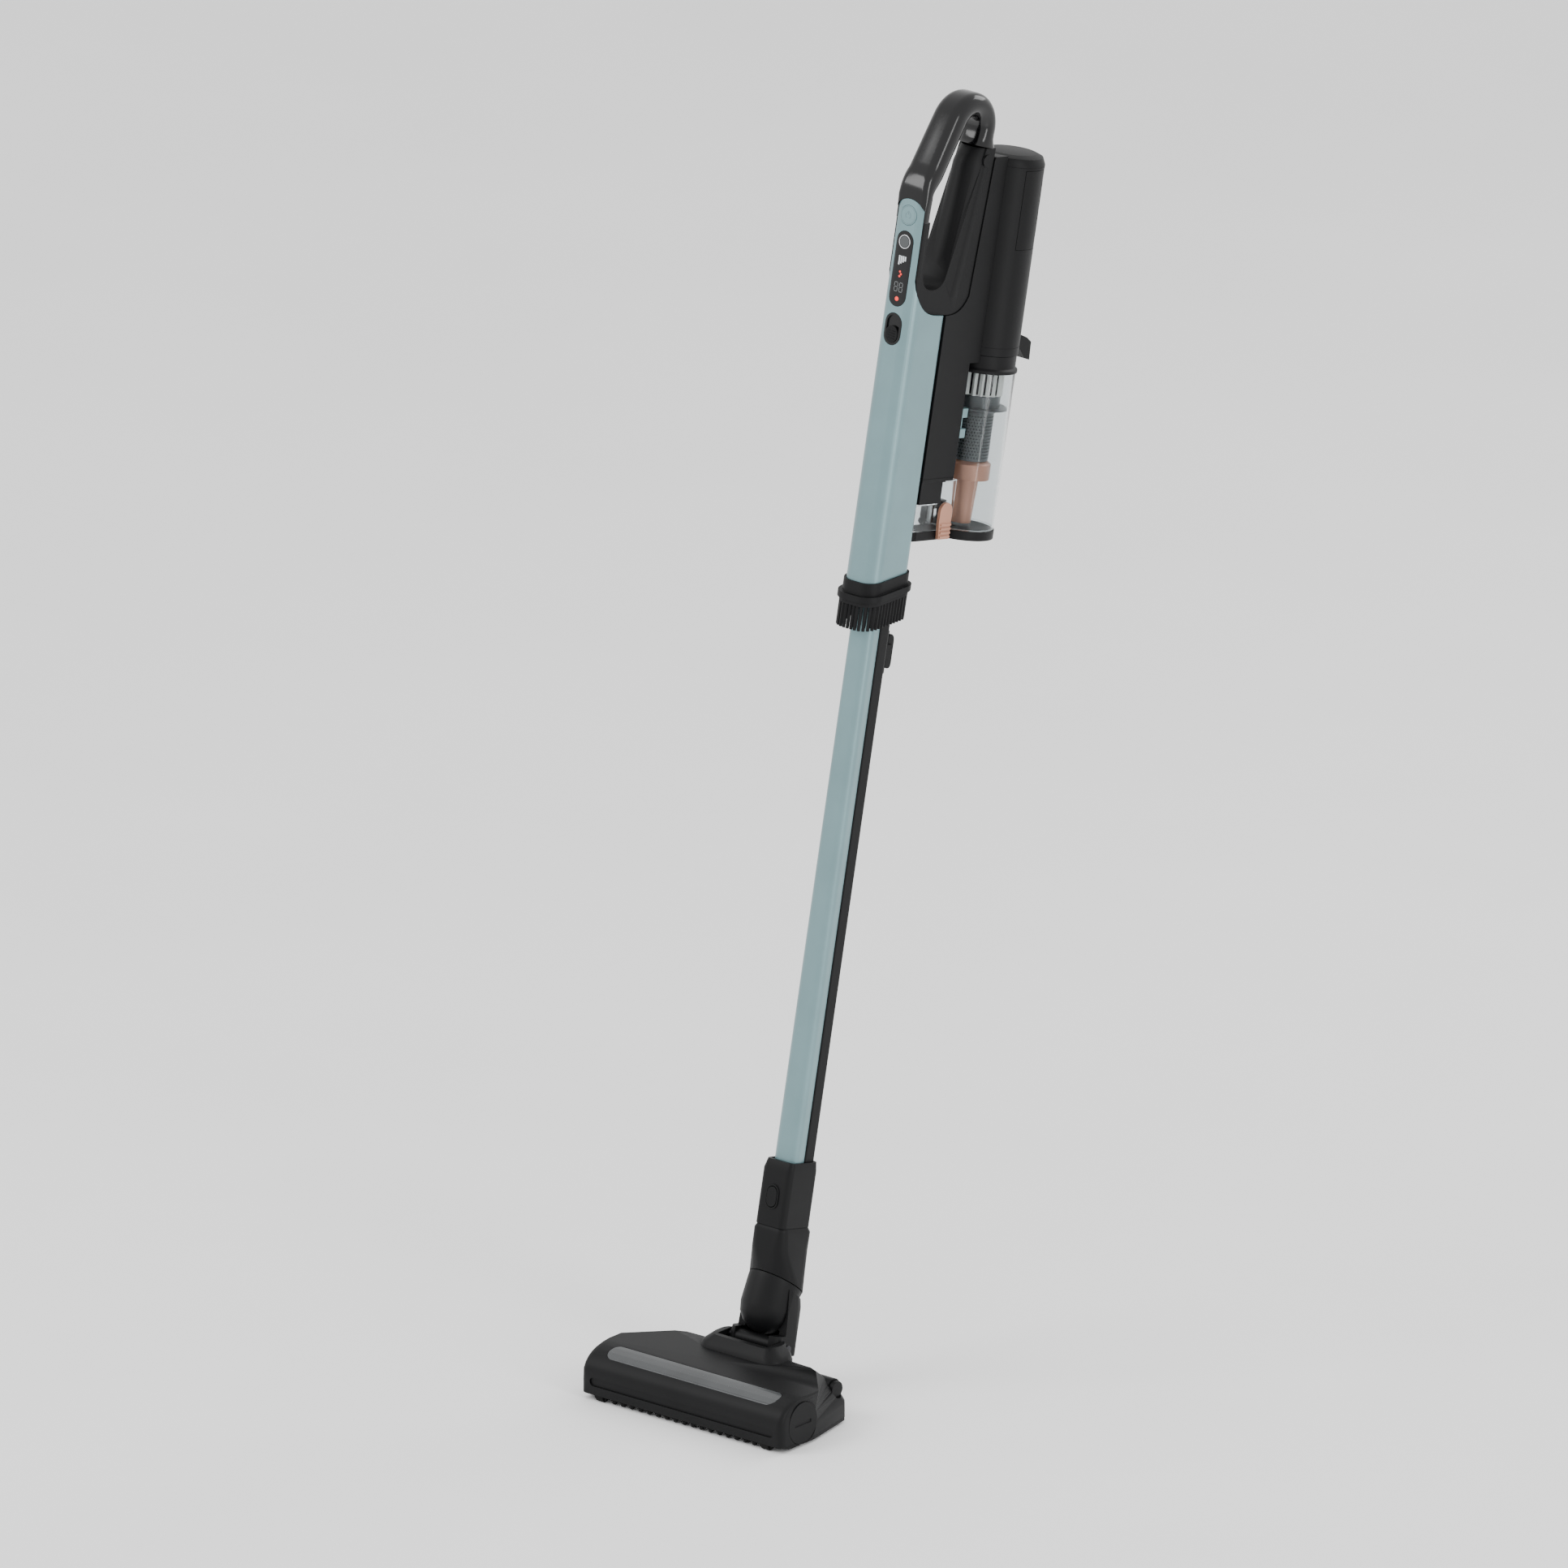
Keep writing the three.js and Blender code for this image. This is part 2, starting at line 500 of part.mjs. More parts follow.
function makeHandle() {
  const rise = THREE.MathUtils.degToRad(24.5);
  const fall = Math.atan(GRIP.slope) + Math.PI;
  const foot = { y: -20.6, z: 1127 };
  const rings = [
    handleRing(foot.y, foot.z, 0, 19.6, 7.1, 6),
    handleRing(foot.y + 1.4, foot.z + 9, rise * 0.5, 19, 8.6, 7.5),
    handleRing(-11.4, 1147, rise, 17.8, 11, 9.5),
    handleRing(-2.2, 1163, rise, 17.2, 12.6, 10.5),
  ];
  const steps = 9;
  for (let i = 0; i <= steps; i++) {
    const turn = rise + ((fall - rise) * i) / steps;
    const y = BEND.y - BEND.radius * Math.cos(turn);
    const z = BEND.z + BEND.radius * Math.sin(turn);
    rings.push(handleRing(y, z, turn, 16.8 - 0.08 * i, 12.4 - 0.16 * i, 10));
  }
  const end = GRIP.high + GAP;
  rings.push(handleRing(gripY(end) + 0.1, end + 1.6, fall, 15.6, 11, 9.6));
  const sweep = loft(rings);
  // the foot wraps round the tongue's round top
  const base = prismZ(section(19.6, POD.front + 0.2, STRAP.inner, 8.5, 4.5), STRAP.join, foot.z + 0.5, 4);
  const tongueSeat = prismY(slot(POD.half + GAP, 1000, POD.tongueTop + GAP), -40, POD.split + GAP, 8);
  const contactBay = rod(v3(0, -26, POWER.z), v3(0, -20, POWER.z), 11, 20);
  toStick("handle_loop", cut(join(sweep, base), tongueSeat, contactBay), gloss);
}

// ---------------------------------------------------------------- hand unit: battery spine
function makeSpine() {
  const { half, front, rear, low, step, top, wall } = SPINE;
  const side = new THREE.Shape();
  side.moveTo(front, low);
  side.lineTo(front, 1009.5);
  side.lineTo(33, 1009.5);
  side.quadraticCurveTo(52.5, 1009.5, 61, 1027);
  side.lineTo(71, top - 4);
  side.quadraticCurveTo(71.5, top, 76, top);
  side.lineTo(92, top);
  side.lineTo(92, step);
  side.lineTo(rear, step);
  side.lineTo(rear, low);
  const can = rod(v3(0, CAN.y, 700), v3(0, CAN.y, 1300), CAN.radius + 0.4, 48);
  const bay = block(wall - half, half - wall, front + wall, rear - wall, low - 5, 990);
  toStick("battery_spine", cut(prismX(side, -half, half, 6), can, gripForm(0.5), bay), matt);
  const cell = { radius: 9.1, length: 66, x: 7.1, y: 40.4, pitch: 12.3, low: 851 };
  const cells = [];
  for (const column of [0, 1, 2])
    for (const z of [cell.low, cell.low + cell.length]) {
      const x = column === 1 ? cell.x : -cell.x;
      const y = cell.y + column * cell.pitch;
      const radius = z === cell.low ? cell.radius : cell.radius - 0.2;
      cells.push(rod(v3(x, y, z), v3(x, y, z + cell.length), radius, 16));
    }
  toStick("battery_cells", join(...cells, block(-15.6, 15.6, 32, 74, 914, 920)), cellWrap);
  const plate = block(-half + 0.2, half - 0.2, front + 0.2, rear, low - 3.5, low - GAP);
  const foot = block(-half + 0.6, half - 0.6, front + 0.3, 62, 823, low - 3);
  toStick("battery_catch", join(plate, foot), matt);
  const lug = (z) => block(-17.4, 17.4, rear + GAP, rear + 9, z, z + 9);
  toStick("bin_guide_lugs", join(lug(886), lug(906), block(-16, 16, rear + GAP, rear + 4, 890, 910)), teal);
}

// ---------------------------------------------------------------- hand unit: motor
// A sector of a ring about the can's axis, between two angles from the front.
function canSector(outer, inner, fromDegrees, toDegrees, low, high) {
  const shape = new THREE.Shape();
  const angle = (degrees) => THREE.MathUtils.degToRad(degrees - 90);
  shape.absarc(0, 0, outer, angle(fromDegrees), angle(toDegrees), false);
  shape.absarc(0, 0, inner, angle(toDegrees), angle(fromDegrees), true);
  shape.closePath();
  return prismZ(shape, low, high, 12).translate([0, CAN.y, 0]);
}

function makeMotorHousing() {
  const { radius, wall } = CAN;
  const { low, high, ventLow, ventHigh } = MOTOR;
  const outer = turned([[0, low], [radius, low], [radius, high - 9], [radius - 2.6, high - 2.6],
    [radius - 9, high], [0, high]], 48, 0, CAN.y);
  const inner = turned([[0, low - 5], [radius - wall, low - 5], [radius - wall, high - 10],
    [radius - 9, high - wall], [0, high - wall]], 48, 0, CAN.y);
  const opening = canSector(radius + 5, radius - wall - 3, 67, 293, ventLow, ventHigh);
  toStick("motor_housing", cut(outer, inner, opening), matt);
  const slots = [];
  for (let row = 0; row < 2; row++)
    for (let i = -4; i <= 4; i++) {
      const a = i * 0.26;
      const out = v3(Math.sin(a) * 40, CAN.y + Math.cos(a) * 40, 0);
      const z = ventLow + 12 + row * 30;
      const bar = new THREE.BoxGeometry(2.4, 30, 24);
      const place = moved(out.x, out.y, z + 12).multiply(new THREE.Matrix4().makeRotationZ(-a));
      slots.push(solid(bar, place));
    }
  const cover = canSector(radius, radius - wall, 67.6, 292.4, ventLow + GAP, ventHigh - GAP);
  toStick("exhaust_cover", cut(cover, ...slots), matt);
  toStick("exhaust_filter", ring(29.8, 16, ventLow + 4, ventHigh - 6, 32, 0, CAN.y), foam);
  const mount = ring(radius - wall - GAP, 18, 1000, 1008, 40, 0, CAN.y);
  toStick("suction_motor", join(ring(21, 2.6, 996, 1044, 32, 0, CAN.y), mount), steel);
}

function makeImpeller() {
  const base = 978;
  const disc = turned([[0, base], [20, base], [20, base + 2], [7, base + 12], [2, base + 12],
    [2, 1050], [0, 1050]], 28, 0, CAN.y);
  const blades = Array.from({ length: 7 }, (_, i) => {
    const blade = new THREE.BoxGeometry(1.2, 12, 7);
    const turn = new THREE.Matrix4().makeRotationZ((i * 2 * Math.PI) / 7);
    const twist = new THREE.Matrix4().makeRotationZ(0.5);
    const place = moved(0, CAN.y, base + 4.5).multiply(turn).multiply(moved(0, 12.5, 0)).multiply(twist);
    return solid(blade, place);
  });
  toStick("fan_impeller", join(disc, ...blades), steel);
}

// The lever that frees the dust bin, low on the housing's rear.
function makeBinRelease() {
  const rear = CAN.y + CAN.radius;
  const side = outline([[rear + GAP, 984], [rear + 20, 977.5], [rear + 27, 973], [rear + 28, 955],
    [rear + 20, 957], [rear + 12, 966], [rear + GAP, 969]]);
  toStick("bin_release_lever", prismX(side, -9, 9), matt);
}

// ---------------------------------------------------------------- dust bin
function makeBin() {
  const { low, high, wall, ductHalf, ductFront, ductTop } = BIN;
  const neckFront = 63;
  const tallTop = 844;
  const outer = join(rod(v3(0, CAN.y, low), v3(0, CAN.y, high), CAN.radius, 48),
    block(-ductHalf, ductHalf, ductFront, CAN.y, low, ductTop),
    block(-ductHalf, ductHalf, neckFront, CAN.y, low, tallTop));
  const inner = join(rod(v3(0, CAN.y, low - 5), v3(0, CAN.y, high + 5), CAN.radius - wall, 48),
    block(wall - ductHalf, ductHalf - wall, ductFront + wall, CAN.y, low + wall, ductTop - wall),
    block(wall - ductHalf, ductHalf - wall, LID.front + wall, CAN.y, low - 5, ductTop - wall),
    block(wall - ductHalf, ductHalf - wall, neckFront + wall, CAN.y, low - 5, tallTop - wall));
  const inlet = block(-9, 9, ductFront - 5, ductFront + 5, 800, 816);
  toStick("bin_shell", cut(outer, inner, inlet), clear);
  const frame = cut(block(-12.5, 12.5, POD.rear + 0.4, ductFront - GAP, 797, 821.5),
    block(-9, 9, 20, 40, 800, 816));
  const foot = block(-13.8, 13.8, POD.rear + 0.4, LID.front - GAP, LID.low, low - GAP);
  const web = block(-12, 12, POD.rear + 0.4, ductFront - GAP, low - 1, 798);
  toStick("inlet_gasket", join(frame, web, foot), rubber);
  const collarTop = MOTOR.low - GAP;
  const collarLow = high + GAP;
  toStick("bin_collar", turned([[25.5, collarLow], [34.5, collarLow], [34.5, collarLow + 3],
    [32, collarLow + 5], [32, collarTop], [25.5, collarTop], [25.5, collarLow]], 40, 0, CAN.y), matt);
}

function makeBinInternals() {
  const y = CAN.y;
  const pleats = 20;
  const star = outline(Array.from({ length: 2 * pleats }, (_, i) => {
    const angle = (i * Math.PI) / pleats;
    const r = i % 2 ? 24 : 20.6;
    return [r * Math.cos(angle), r * Math.sin(angle)];
  }));
  star.holes.push(new THREE.Path().absarc(0, 0, 17, 0, 2 * Math.PI));
  toStick("motor_filter", prismZ(star, 925.3, 948.6, 8).translate([0, y, 0]), paper);
  const seat = [[16, 908], [20, 908], [22.6, 912], [30.6, 912], [30.6, 913.4], [22.6, 913.4], [22.6, 925],
    [16, 925], [16, 908]];
  toStick("filter_seat", turned(seat, 32, 0, y), smoke);
  toStick("cyclone_shroud", ring(18.4, 16, 860.3, 907.7, 28, 0, y), smoke);
  const cone = [
    [8, 798], [10, 798], [12, 836], [12, 842], [22, 842], [22, 857], [18, 860], [10, 860], [8, 798],
  ];
  toStick("cyclone_cone", turned(cone, 28, 0, y), copper);
}

function makeBinLid() {
  const { low, high, hingeX, hingeZ } = LID;
  const disc = rod(v3(0, CAN.y, low), v3(0, CAN.y, high), CAN.radius + 0.8, 48);
  const tongue = block(-BIN.ductHalf - 0.8, BIN.ductHalf + 0.8, LID.front, CAN.y, low, high);
  const barrel = (y0, y1, r) => rod(v3(hingeX, y0, hingeZ), v3(hingeX, y1, hingeZ), r, 16);
  const arm = block(hingeX, -28, CAN.y - 9, CAN.y + 9, low + 1, hingeZ + 1);
  const pinHole = barrel(CAN.y - 30, CAN.y + 30, 1.9);
  toStick("bin_lid", cut(join(disc, tongue, arm, barrel(CAN.y - 9, CAN.y + 9, 3.4)), pinHole), matt);
  // the bracket on the bin's side: two lugs, the plate between them and the hinge pin
  const lug = (y0) =>
    join(barrel(y0 - 2.6, y0 + 2.6, 3.4), block(hingeX - 2, hingeX + 5, y0 - 2.6, y0 + 2.6, hingeZ, 811));
  const plate = block(hingeX, hingeX + 5, CAN.y - 14, CAN.y + 14, 803, 811);
  const clearance = (radius, top) => rod(v3(0, CAN.y, 700), v3(0, CAN.y, top), radius, 48);
  const bracket = cut(join(lug(CAN.y - 12.2), lug(CAN.y + 12.2), plate),
    clearance(CAN.radius + GAP, 900), clearance(CAN.radius + 1.2, high + GAP));
  toStick("lid_hinge_bracket", join(bracket, barrel(CAN.y - 14.5, CAN.y + 14.5, 1.5)), matt);
}

// The copper-coloured catch on the side of the inlet duct that holds the lid shut.
function makeLidCatch() {
  const x = BIN.ductHalf + 1.8;
  const side = new THREE.Shape();
  side.moveTo(66, 787);
  side.lineTo(82, 787);
  side.lineTo(82, 814);
  side.absarc(73, 814, 9, 0, Math.PI, false);
  side.lineTo(64, 803);
  const plate = prismX(side, x, x + 3.4, 6);
  const ribs = Array.from({ length: 4 }, (_, i) =>
    block(x + 3, x + 4.8, 66.5, 81.5, 788.5 + i * 4, 790.5 + i * 4));
  toStick("lid_catch", join(plate, ...ribs), copper);
}

// ---------------------------------------------------------------- floor head
// Outline of the head at a height, pulled in by inset: front corners, flanks, cut rear corners.
function headOutline(z, frontY, inset) {
  const half = HEAD.width / 2;
  const shrink = Math.pow(THREE.MathUtils.clamp((z - 20) / (HEAD.height - 20), 0, 1), 1.6);
  const mix = (a, b) => a + (b - a) * shrink;
  const corner = 6;
  const side = mix(half, half - 2) - inset;
  const rear = mix(HEAD.depth, 104) - inset;
  const knee = { x: side, y: mix(50, 58) };
  const tail = { x: mix(112.6, 82) - inset, y: mix(HEAD.depth, 101) - inset };
  const right = [];
  for (let i = 0; i <= 3; i++) {
    const a = -QUARTER + (i * QUARTER) / 3;
    right.push([side - corner + corner * Math.cos(a), frontY + inset + corner + corner * Math.sin(a)]);
  }
  right.push([knee.x, knee.y], [mix(114, 88) - inset, mix(108, 96) - inset], [tail.x - 5, tail.y]);
  const left = right.map(([x, y]) => [-x, y]).reverse();
  return [...right, [0, rear], ...left].map(([x, y]) => v3(x, y, z));
}

// The head's outer form: upright front, then a round brow up to the flat top.
function headForm(inset, bottom) {
  const brow = new THREE.QuadraticBezierCurve(
    new THREE.Vector2(0, 30), new THREE.Vector2(5, 48), new THREE.Vector2(34, 50));
  const squash = (HEAD.height - inset) / HEAD.height;
  const rings = [headOutline(bottom, 0, inset), headOutline(20, 0, inset)];
  for (let i = 0; i <= 6; i++) {
    const { x, y } = brow.getPoint(i / 6);
    const points = headOutline(y, x, inset);
    rings.push(points.map((p) => p.setZ(p.z * squash)));
  }
  return loft(rings);
}

function turretForm() {
  return loft([
    sectionRing(46, 88, 114, 8, atHeight(24)),
    sectionRing(50, 77, 117, 16, atHeight(48)),
    sectionRing(47, 80, 116.5, 15, atHeight(55)),
    sectionRing(38, 87, 116, 10, atHeight(62)),
  ]);
}

const tiltBore = (half, radius) =>
  rod(v3(-half, TILT_AXIS.depth, TILT_AXIS.height), v3(half, TILT_AXIS.depth, TILT_AXIS.height), radius, 20);
const barX = (x0, x1, y, z, radius, segments = 16) => rod(v3(x0, y, z), v3(x1, y, z), radius, segments);

const WINDOW = { half: 105, front: 9.4, rear: 30.5, thick: 1.8 };

function windowPatch(grow) {
  const shape = section(WINDOW.half + grow, WINDOW.front - grow, WINDOW.rear + grow, 9);
  return prismZ(shape, 34, 60, 3);
}

function makeHood() {
  const wellWall = WELL.wall;
  const cavity = cut(headForm(HEAD.wall, 0),
    block(-WELL.half - wellWall, WELL.half + wellWall,
      WELL.front - wellWall, 200, WELL.floor - wellWall, 90));
  const well = block(-WELL.half, WELL.half, WELL.front, 200, WELL.floor, 90);
  const windowSeat = cut(windowPatch(0), headForm(WINDOW.thick + GAP, 0));
  const slotHalf = 114;
  const frontSlot = prismY(section(slotHalf, 15, 23.6, 4.2), -5, 1.6, 4);
  const fender = barX(KNOB.left, KNOB.right, KNOB.depth, KNOB.height, KNOB.radius + 1.8, 24);
  const knobBore = barX(KNOB.right - 8, KNOB.right + 20, KNOB.depth, KNOB.height, KNOB.radius + GAP, 24);
  const capHole = barX(118, 130, ROLL.depth, ROLL.height, 21.4, 36);
  const hosePort = rod(v3(0, WELL.front - 10, 40), v3(0, WELL.front + 5, 40), 9, 20);
  const shell = join(headForm(0, HEAD.bottom), turretForm());
  const hollow = cut(shell, cavity);
  const bearing = barX(-123.5, -117.5, ROLL.depth, ROLL.height, 9, 24);
  const bearingBore = barX(-121, -117, ROLL.depth, ROLL.height, ROLL.shaft + GAP, 14);
  const rollerNotches = [-1, 1].map((side) =>
    barX(side * ROLLER.x - 5.4, side * ROLLER.x + 5.4, ROLLER.depth, ROLLER.radius, ROLLER.radius + 0.6, 20));
  const body = cut(join(hollow, fender, bearing), ...rollerNotches, bearingBore, well, windowSeat,
    frontSlot, knobBore, capHole, hosePort, tiltBore(41, 4.3));
  toHead("head_hood", body, matt);
  const glass = cut(headForm(0, HEAD.bottom).intersect(windowPatch(-GAP)), headForm(WINDOW.thick, 0));
  toHead("head_window", glass, windowGrey);
  toHead("brush_release_button",
    barX(KNOB.right - 4, KNOB.right + 5, KNOB.depth, KNOB.height, KNOB.radius, 24), matt);
  toHead("tilt_pin", tiltBore(40.5, 4), steel);
}

function makeSole() {
  const rimInset = 0.2;
  const plate = loft([headOutline(3, 8.5, rimInset), headOutline(HEAD.bottom - GAP, 0.4, rimInset)]);
  const mouth = block(-113, 113, 13, 54, 0, 10);
  const cuts = [mouth];
  const lugs = [];
  for (const side of [-1, 1]) {
    const bay = (spec, half, reach) => block(
      side * spec.x - half, side * spec.x + half, spec.depth - reach, spec.depth + reach, -1, 20);
    cuts.push(bay(ROLLER, 5.2, 5.4), bay(WHEEL, 4.8, 9));
    for (const end of [-1, 1]) {
      const lug = (spec, inner, y0, y1, low, top) => {
        const x0 = side * spec.x + end * inner;
        const x1 = x0 + end * 2;
        return block(Math.min(x0, x1), Math.max(x0, x1), y0, y1, low, top);
      };
      lugs.push(lug(ROLLER, 5.2, 2.9, 12, 2.6, 8));
      lugs.push(lug(WHEEL, 4.8, WHEEL.depth - 4, WHEEL.depth + 4, 3.2, 12));
    }
    cuts.push(barX(side * ROLLER.x - 9, side * ROLLER.x + 9, ROLLER.depth, ROLLER.radius, 1.7, 10));
    cuts.push(barX(side * WHEEL.x - 9, side * WHEEL.x + 9, WHEEL.depth, WHEEL.radius, 2.1, 10));
  }
  const teeth = Array.from({ length: 17 }, (_, i) => {
    const x = (i - 8) * 10.9;
    return rod(v3(x, 5.6, 4.6), v3(x, 5.6, 1.2), 3.4, 8, 2.4);
  });
  cuts.push(barX(118, 130, ROLL.depth, ROLL.height, 21.4, 36));
  toHead("sole_plate", cut(join(plate, ...lugs, ...teeth), ...cuts), matt);
}

function rollerMesh(name, spec, side, stub) {
  const { x, depth, radius, half } = spec;
  const body = join(barX(side * x - half, side * x + half, depth, radius, radius, 20),
    barX(side * x - half - 2.3, side * x + half + 2.3, depth, radius, stub, 10));
  toHead(name, body, rubber);
}

function makeWheels() {
  for (const [word, side] of [["left", -1], ["right", 1]]) {
    rollerMesh("front_roller_" + word, ROLLER, side, 1.3);
    rollerMesh("rear_wheel_" + word, WHEEL, side, 1.7);
  }
}

// A thin fin wound round the brush core by the turns given.
function woundFin(start, turns) {
  const steps = 18;
  const rings = [];
  for (let i = 0; i <= steps; i++) {
    const t = i / steps;
    const a = start + turns * 2 * Math.PI * t;
    const x = ROLL.left + 3 + (ROLL.right - ROLL.left - 6) * t;
    const out = v3(0, Math.cos(a), Math.sin(a));
    const flat = v3(0, -Math.sin(a), Math.cos(a));
    const corner = (r, s) => v3(x, ROLL.depth, ROLL.height).addScaledVector(out, r).addScaledVector(flat, s);
    rings.push([corner(12, -2.2), corner(ROLL.tip, -1.2), corner(ROLL.tip, 1.2), corner(12, 2.2)]);
  }
  return loft(rings);
}

const DRIVE = { x0: -116, x1: -108, rollPulley: 9, motorPulley: 5, depth: 73, height: 24, belt: 1.4 };

function makeBrushDrive() {
  const { depth, height, left, right, core, shaft } = ROLL;
  const fins = [0, 1, 2, 3].map((i) => woundFin((i * Math.PI) / 2, 1));
  toHead("brush_roll", join(barX(left, right, depth, height, core, 28),
    barX(-120.6, right + 7, depth, height, shaft, 14),
    barX(DRIVE.x0, DRIVE.x1, depth, height, DRIVE.rollPulley, 24), ...fins), bristle);
  const boss = cut(barX(right + 1, 122, depth, height, 9, 24),
    barX(right, 119.6, depth, height, shaft + GAP, 14));
  const grip = block(124, 125, depth - 12, depth + 12, height - 1.6, height + 1.6);
  const cap = cut(barX(121.2, 124.9, depth, height, 21, 36), grip);
  toHead("brush_end_cap", join(boss, cap), matt);
  const { x0, x1, motorPulley, belt } = DRIVE;
  toHead("brush_motor_pulley", join(barX(x0 + 1, x1, DRIVE.depth, DRIVE.height, motorPulley, 18),
    barX(x1 - 1, -60, DRIVE.depth, DRIVE.height, 1.8, 12)), steel);
  toHead("brush_motor", cut(barX(-104, -44, DRIVE.depth, DRIVE.height, 13, 28),
    barX(-110, -58, DRIVE.depth, DRIVE.height, 2.2, 12)), steel);
  const beltLoop = (grow) => {
    const shape = new THREE.Shape();
    const lead = Math.asin((DRIVE.rollPulley - motorPulley) / (DRIVE.depth - depth));
    const up = QUARTER - lead;
    shape.absarc(depth, height, DRIVE.rollPulley + grow, up, 2 * Math.PI - up, false);
    shape.absarc(DRIVE.depth, DRIVE.height, motorPulley + grow, -up, up, false);
    shape.closePath();
    return shape;
  };
  const loop = cut(prismX(beltLoop(GAP + belt), x0 + 1.5, x1 - 1, 8), prismX(beltLoop(GAP), -130, -90, 8));
  toHead("drive_belt", loop, rubber);
}

function makeSuctionPath() {
  const z = 40;
  const outer = [[58, 11.5], [88.9, 11.5]];
  const duct = cut(rod(v3(0, outer[0][0], z - 6), v3(0, outer[1][0], z - 6), 12, 24),
    rod(v3(0, 50, z - 6), v3(0, 95, z - 6), 10, 24));
  toHead("suction_duct", duct, smoke);
  const ribs = Array.from({ length: 4 }, (_, i) =>
    rod(v3(0, 92.8 + i * 2.4, z), v3(0, 94 + i * 2.4, z), 8.6, 20));
  const hose = cut(join(rod(v3(0, 90, z), v3(0, 102, z), 7.4, 20), ...ribs),
    rod(v3(0, 85, z), v3(0, 110, z), 5.8, 16));
  toHead("neck_hose", hose, rubber);
}

// ---------------------------------------------------------------- assembly
makeHood();
makeSole();
makeWheels();
makeBrushDrive();
makeSuctionPath();
makeUpperNeck();
makeLowerNeck();
makeCuff();
makeTube();
makeTubeLatch();
makeCollar();
makeDustBrush();
makePod();
makeNozzleSocket();
makeGripFrame();
makeHandle();
makeSpine();
makeMotorHousing();
makeImpeller();
makeBinRelease();
makeBin();
makeBinInternals();
makeBinLid();
makeLidCatch();

// The origin lies on the floor under the middle of the whole object.
assembly.updateMatrixWorld(true);
const extent = new THREE.Box3().setFromObject(assembly, true);
const middle = extent.getCenter(v3(0, 0, 0));
assembly.position.set(-middle.x, -middle.y, -extent.min.z);

export default root;
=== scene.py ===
# The looks of the cordless stick vacuum cleaner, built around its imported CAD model. Metres.
import json
import math
import random

import bmesh
import bpy
from mathutils import Matrix, Vector


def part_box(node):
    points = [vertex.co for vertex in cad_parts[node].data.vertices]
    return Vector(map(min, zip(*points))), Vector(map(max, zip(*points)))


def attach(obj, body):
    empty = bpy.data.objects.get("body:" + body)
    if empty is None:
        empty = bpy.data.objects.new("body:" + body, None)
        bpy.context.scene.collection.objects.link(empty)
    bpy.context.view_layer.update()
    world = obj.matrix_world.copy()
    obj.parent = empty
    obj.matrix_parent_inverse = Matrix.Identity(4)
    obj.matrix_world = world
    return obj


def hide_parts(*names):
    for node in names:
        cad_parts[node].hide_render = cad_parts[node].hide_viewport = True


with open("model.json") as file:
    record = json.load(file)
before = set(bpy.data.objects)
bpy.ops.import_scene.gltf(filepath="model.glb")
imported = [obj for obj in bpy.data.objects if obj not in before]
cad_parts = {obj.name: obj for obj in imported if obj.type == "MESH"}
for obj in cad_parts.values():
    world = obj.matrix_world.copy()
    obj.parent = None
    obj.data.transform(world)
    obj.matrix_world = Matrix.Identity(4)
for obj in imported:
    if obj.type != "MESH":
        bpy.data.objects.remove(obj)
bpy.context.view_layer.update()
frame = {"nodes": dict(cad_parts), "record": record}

nodes = frame["nodes"]
random.seed(7)

MM = 0.001
EDGE_WIDTH = 0.4 * MM
SHARP_ANGLE = math.radians(40)

# ---------------------------------------------------------------- frames of reference
# The stick leans back; its own frame is x across, y to the rear and z along the tube's axis.
LEAN = math.radians(12.5)
AXIS_OFFSET = 16 * MM
pin_low, pin_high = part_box("tilt_pin")
TILT_POINT = (pin_low + pin_high) / 2
STICK = (
    Matrix.Translation(TILT_POINT)
    @ Matrix.Rotation(-LEAN, 4, "X")
    @ Matrix.Translation((0, AXIS_OFFSET, 0))
)
HEAD_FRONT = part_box("head_hood")[0].y
HEAD = Matrix.Translation((0, HEAD_FRONT, 0))


# ---------------------------------------------------------------- materials
def shader(name, roughness, metallic=0.0, **sockets):
    """A new material with a Principled shader; returns it with its node tree and shader node."""
    made = bpy.data.materials.new(name)
    made.use_nodes = True
    tree = made.node_tree
    principled = tree.nodes["Principled BSDF"]
    principled.inputs["Roughness"].default_value = roughness
    principled.inputs["Metallic"].default_value = metallic
    for socket, value in sockets.items():
        principled.inputs[socket.replace("_", " ")].default_value = value
    return made, tree, principled


def noise(tree, scale, detail=4.0, stretch=(1, 1, 1), roughness=0.55):
    """Noise in the piece's own coordinates, in which one unit is a metre."""
    place = tree.nodes.new("ShaderNodeTexCoord")
    mapping = tree.nodes.new("ShaderNodeMapping")
    mapping.inputs["Scale"].default_value = stretch
    texture = tree.nodes.new("ShaderNodeTexNoise")
    texture.inputs["Scale"].default_value = scale
    texture.inputs["Detail"].default_value = detail
    texture.inputs["Roughness"].default_value = roughness
    tree.links.new(place.outputs["Object"], mapping.inputs["Vector"])
    tree.links.new(mapping.outputs["Vector"], texture.inputs["Vector"])
    return texture.outputs["Fac"]


def ramp(tree, factor, low, high, start=0.3, end=0.7):
    made = tree.nodes.new("ShaderNodeValToRGB")
    made.color_ramp.elements[0].position = start
    made.color_ramp.elements[0].color = (*low, 1)
    made.color_ramp.elements[1].position = end
    made.color_ramp.elements[1].color = (*high, 1)
    tree.links.new(factor, made.inputs["Fac"])
    return made.outputs["Color"]


def spread(tree, factor, low, high):
    made = tree.nodes.new("ShaderNodeMapRange")
    made.inputs["To Min"].default_value = low
    made.inputs["To Max"].default_value = high
    tree.links.new(factor, made.inputs["Value"])
    return made.outputs["Result"]


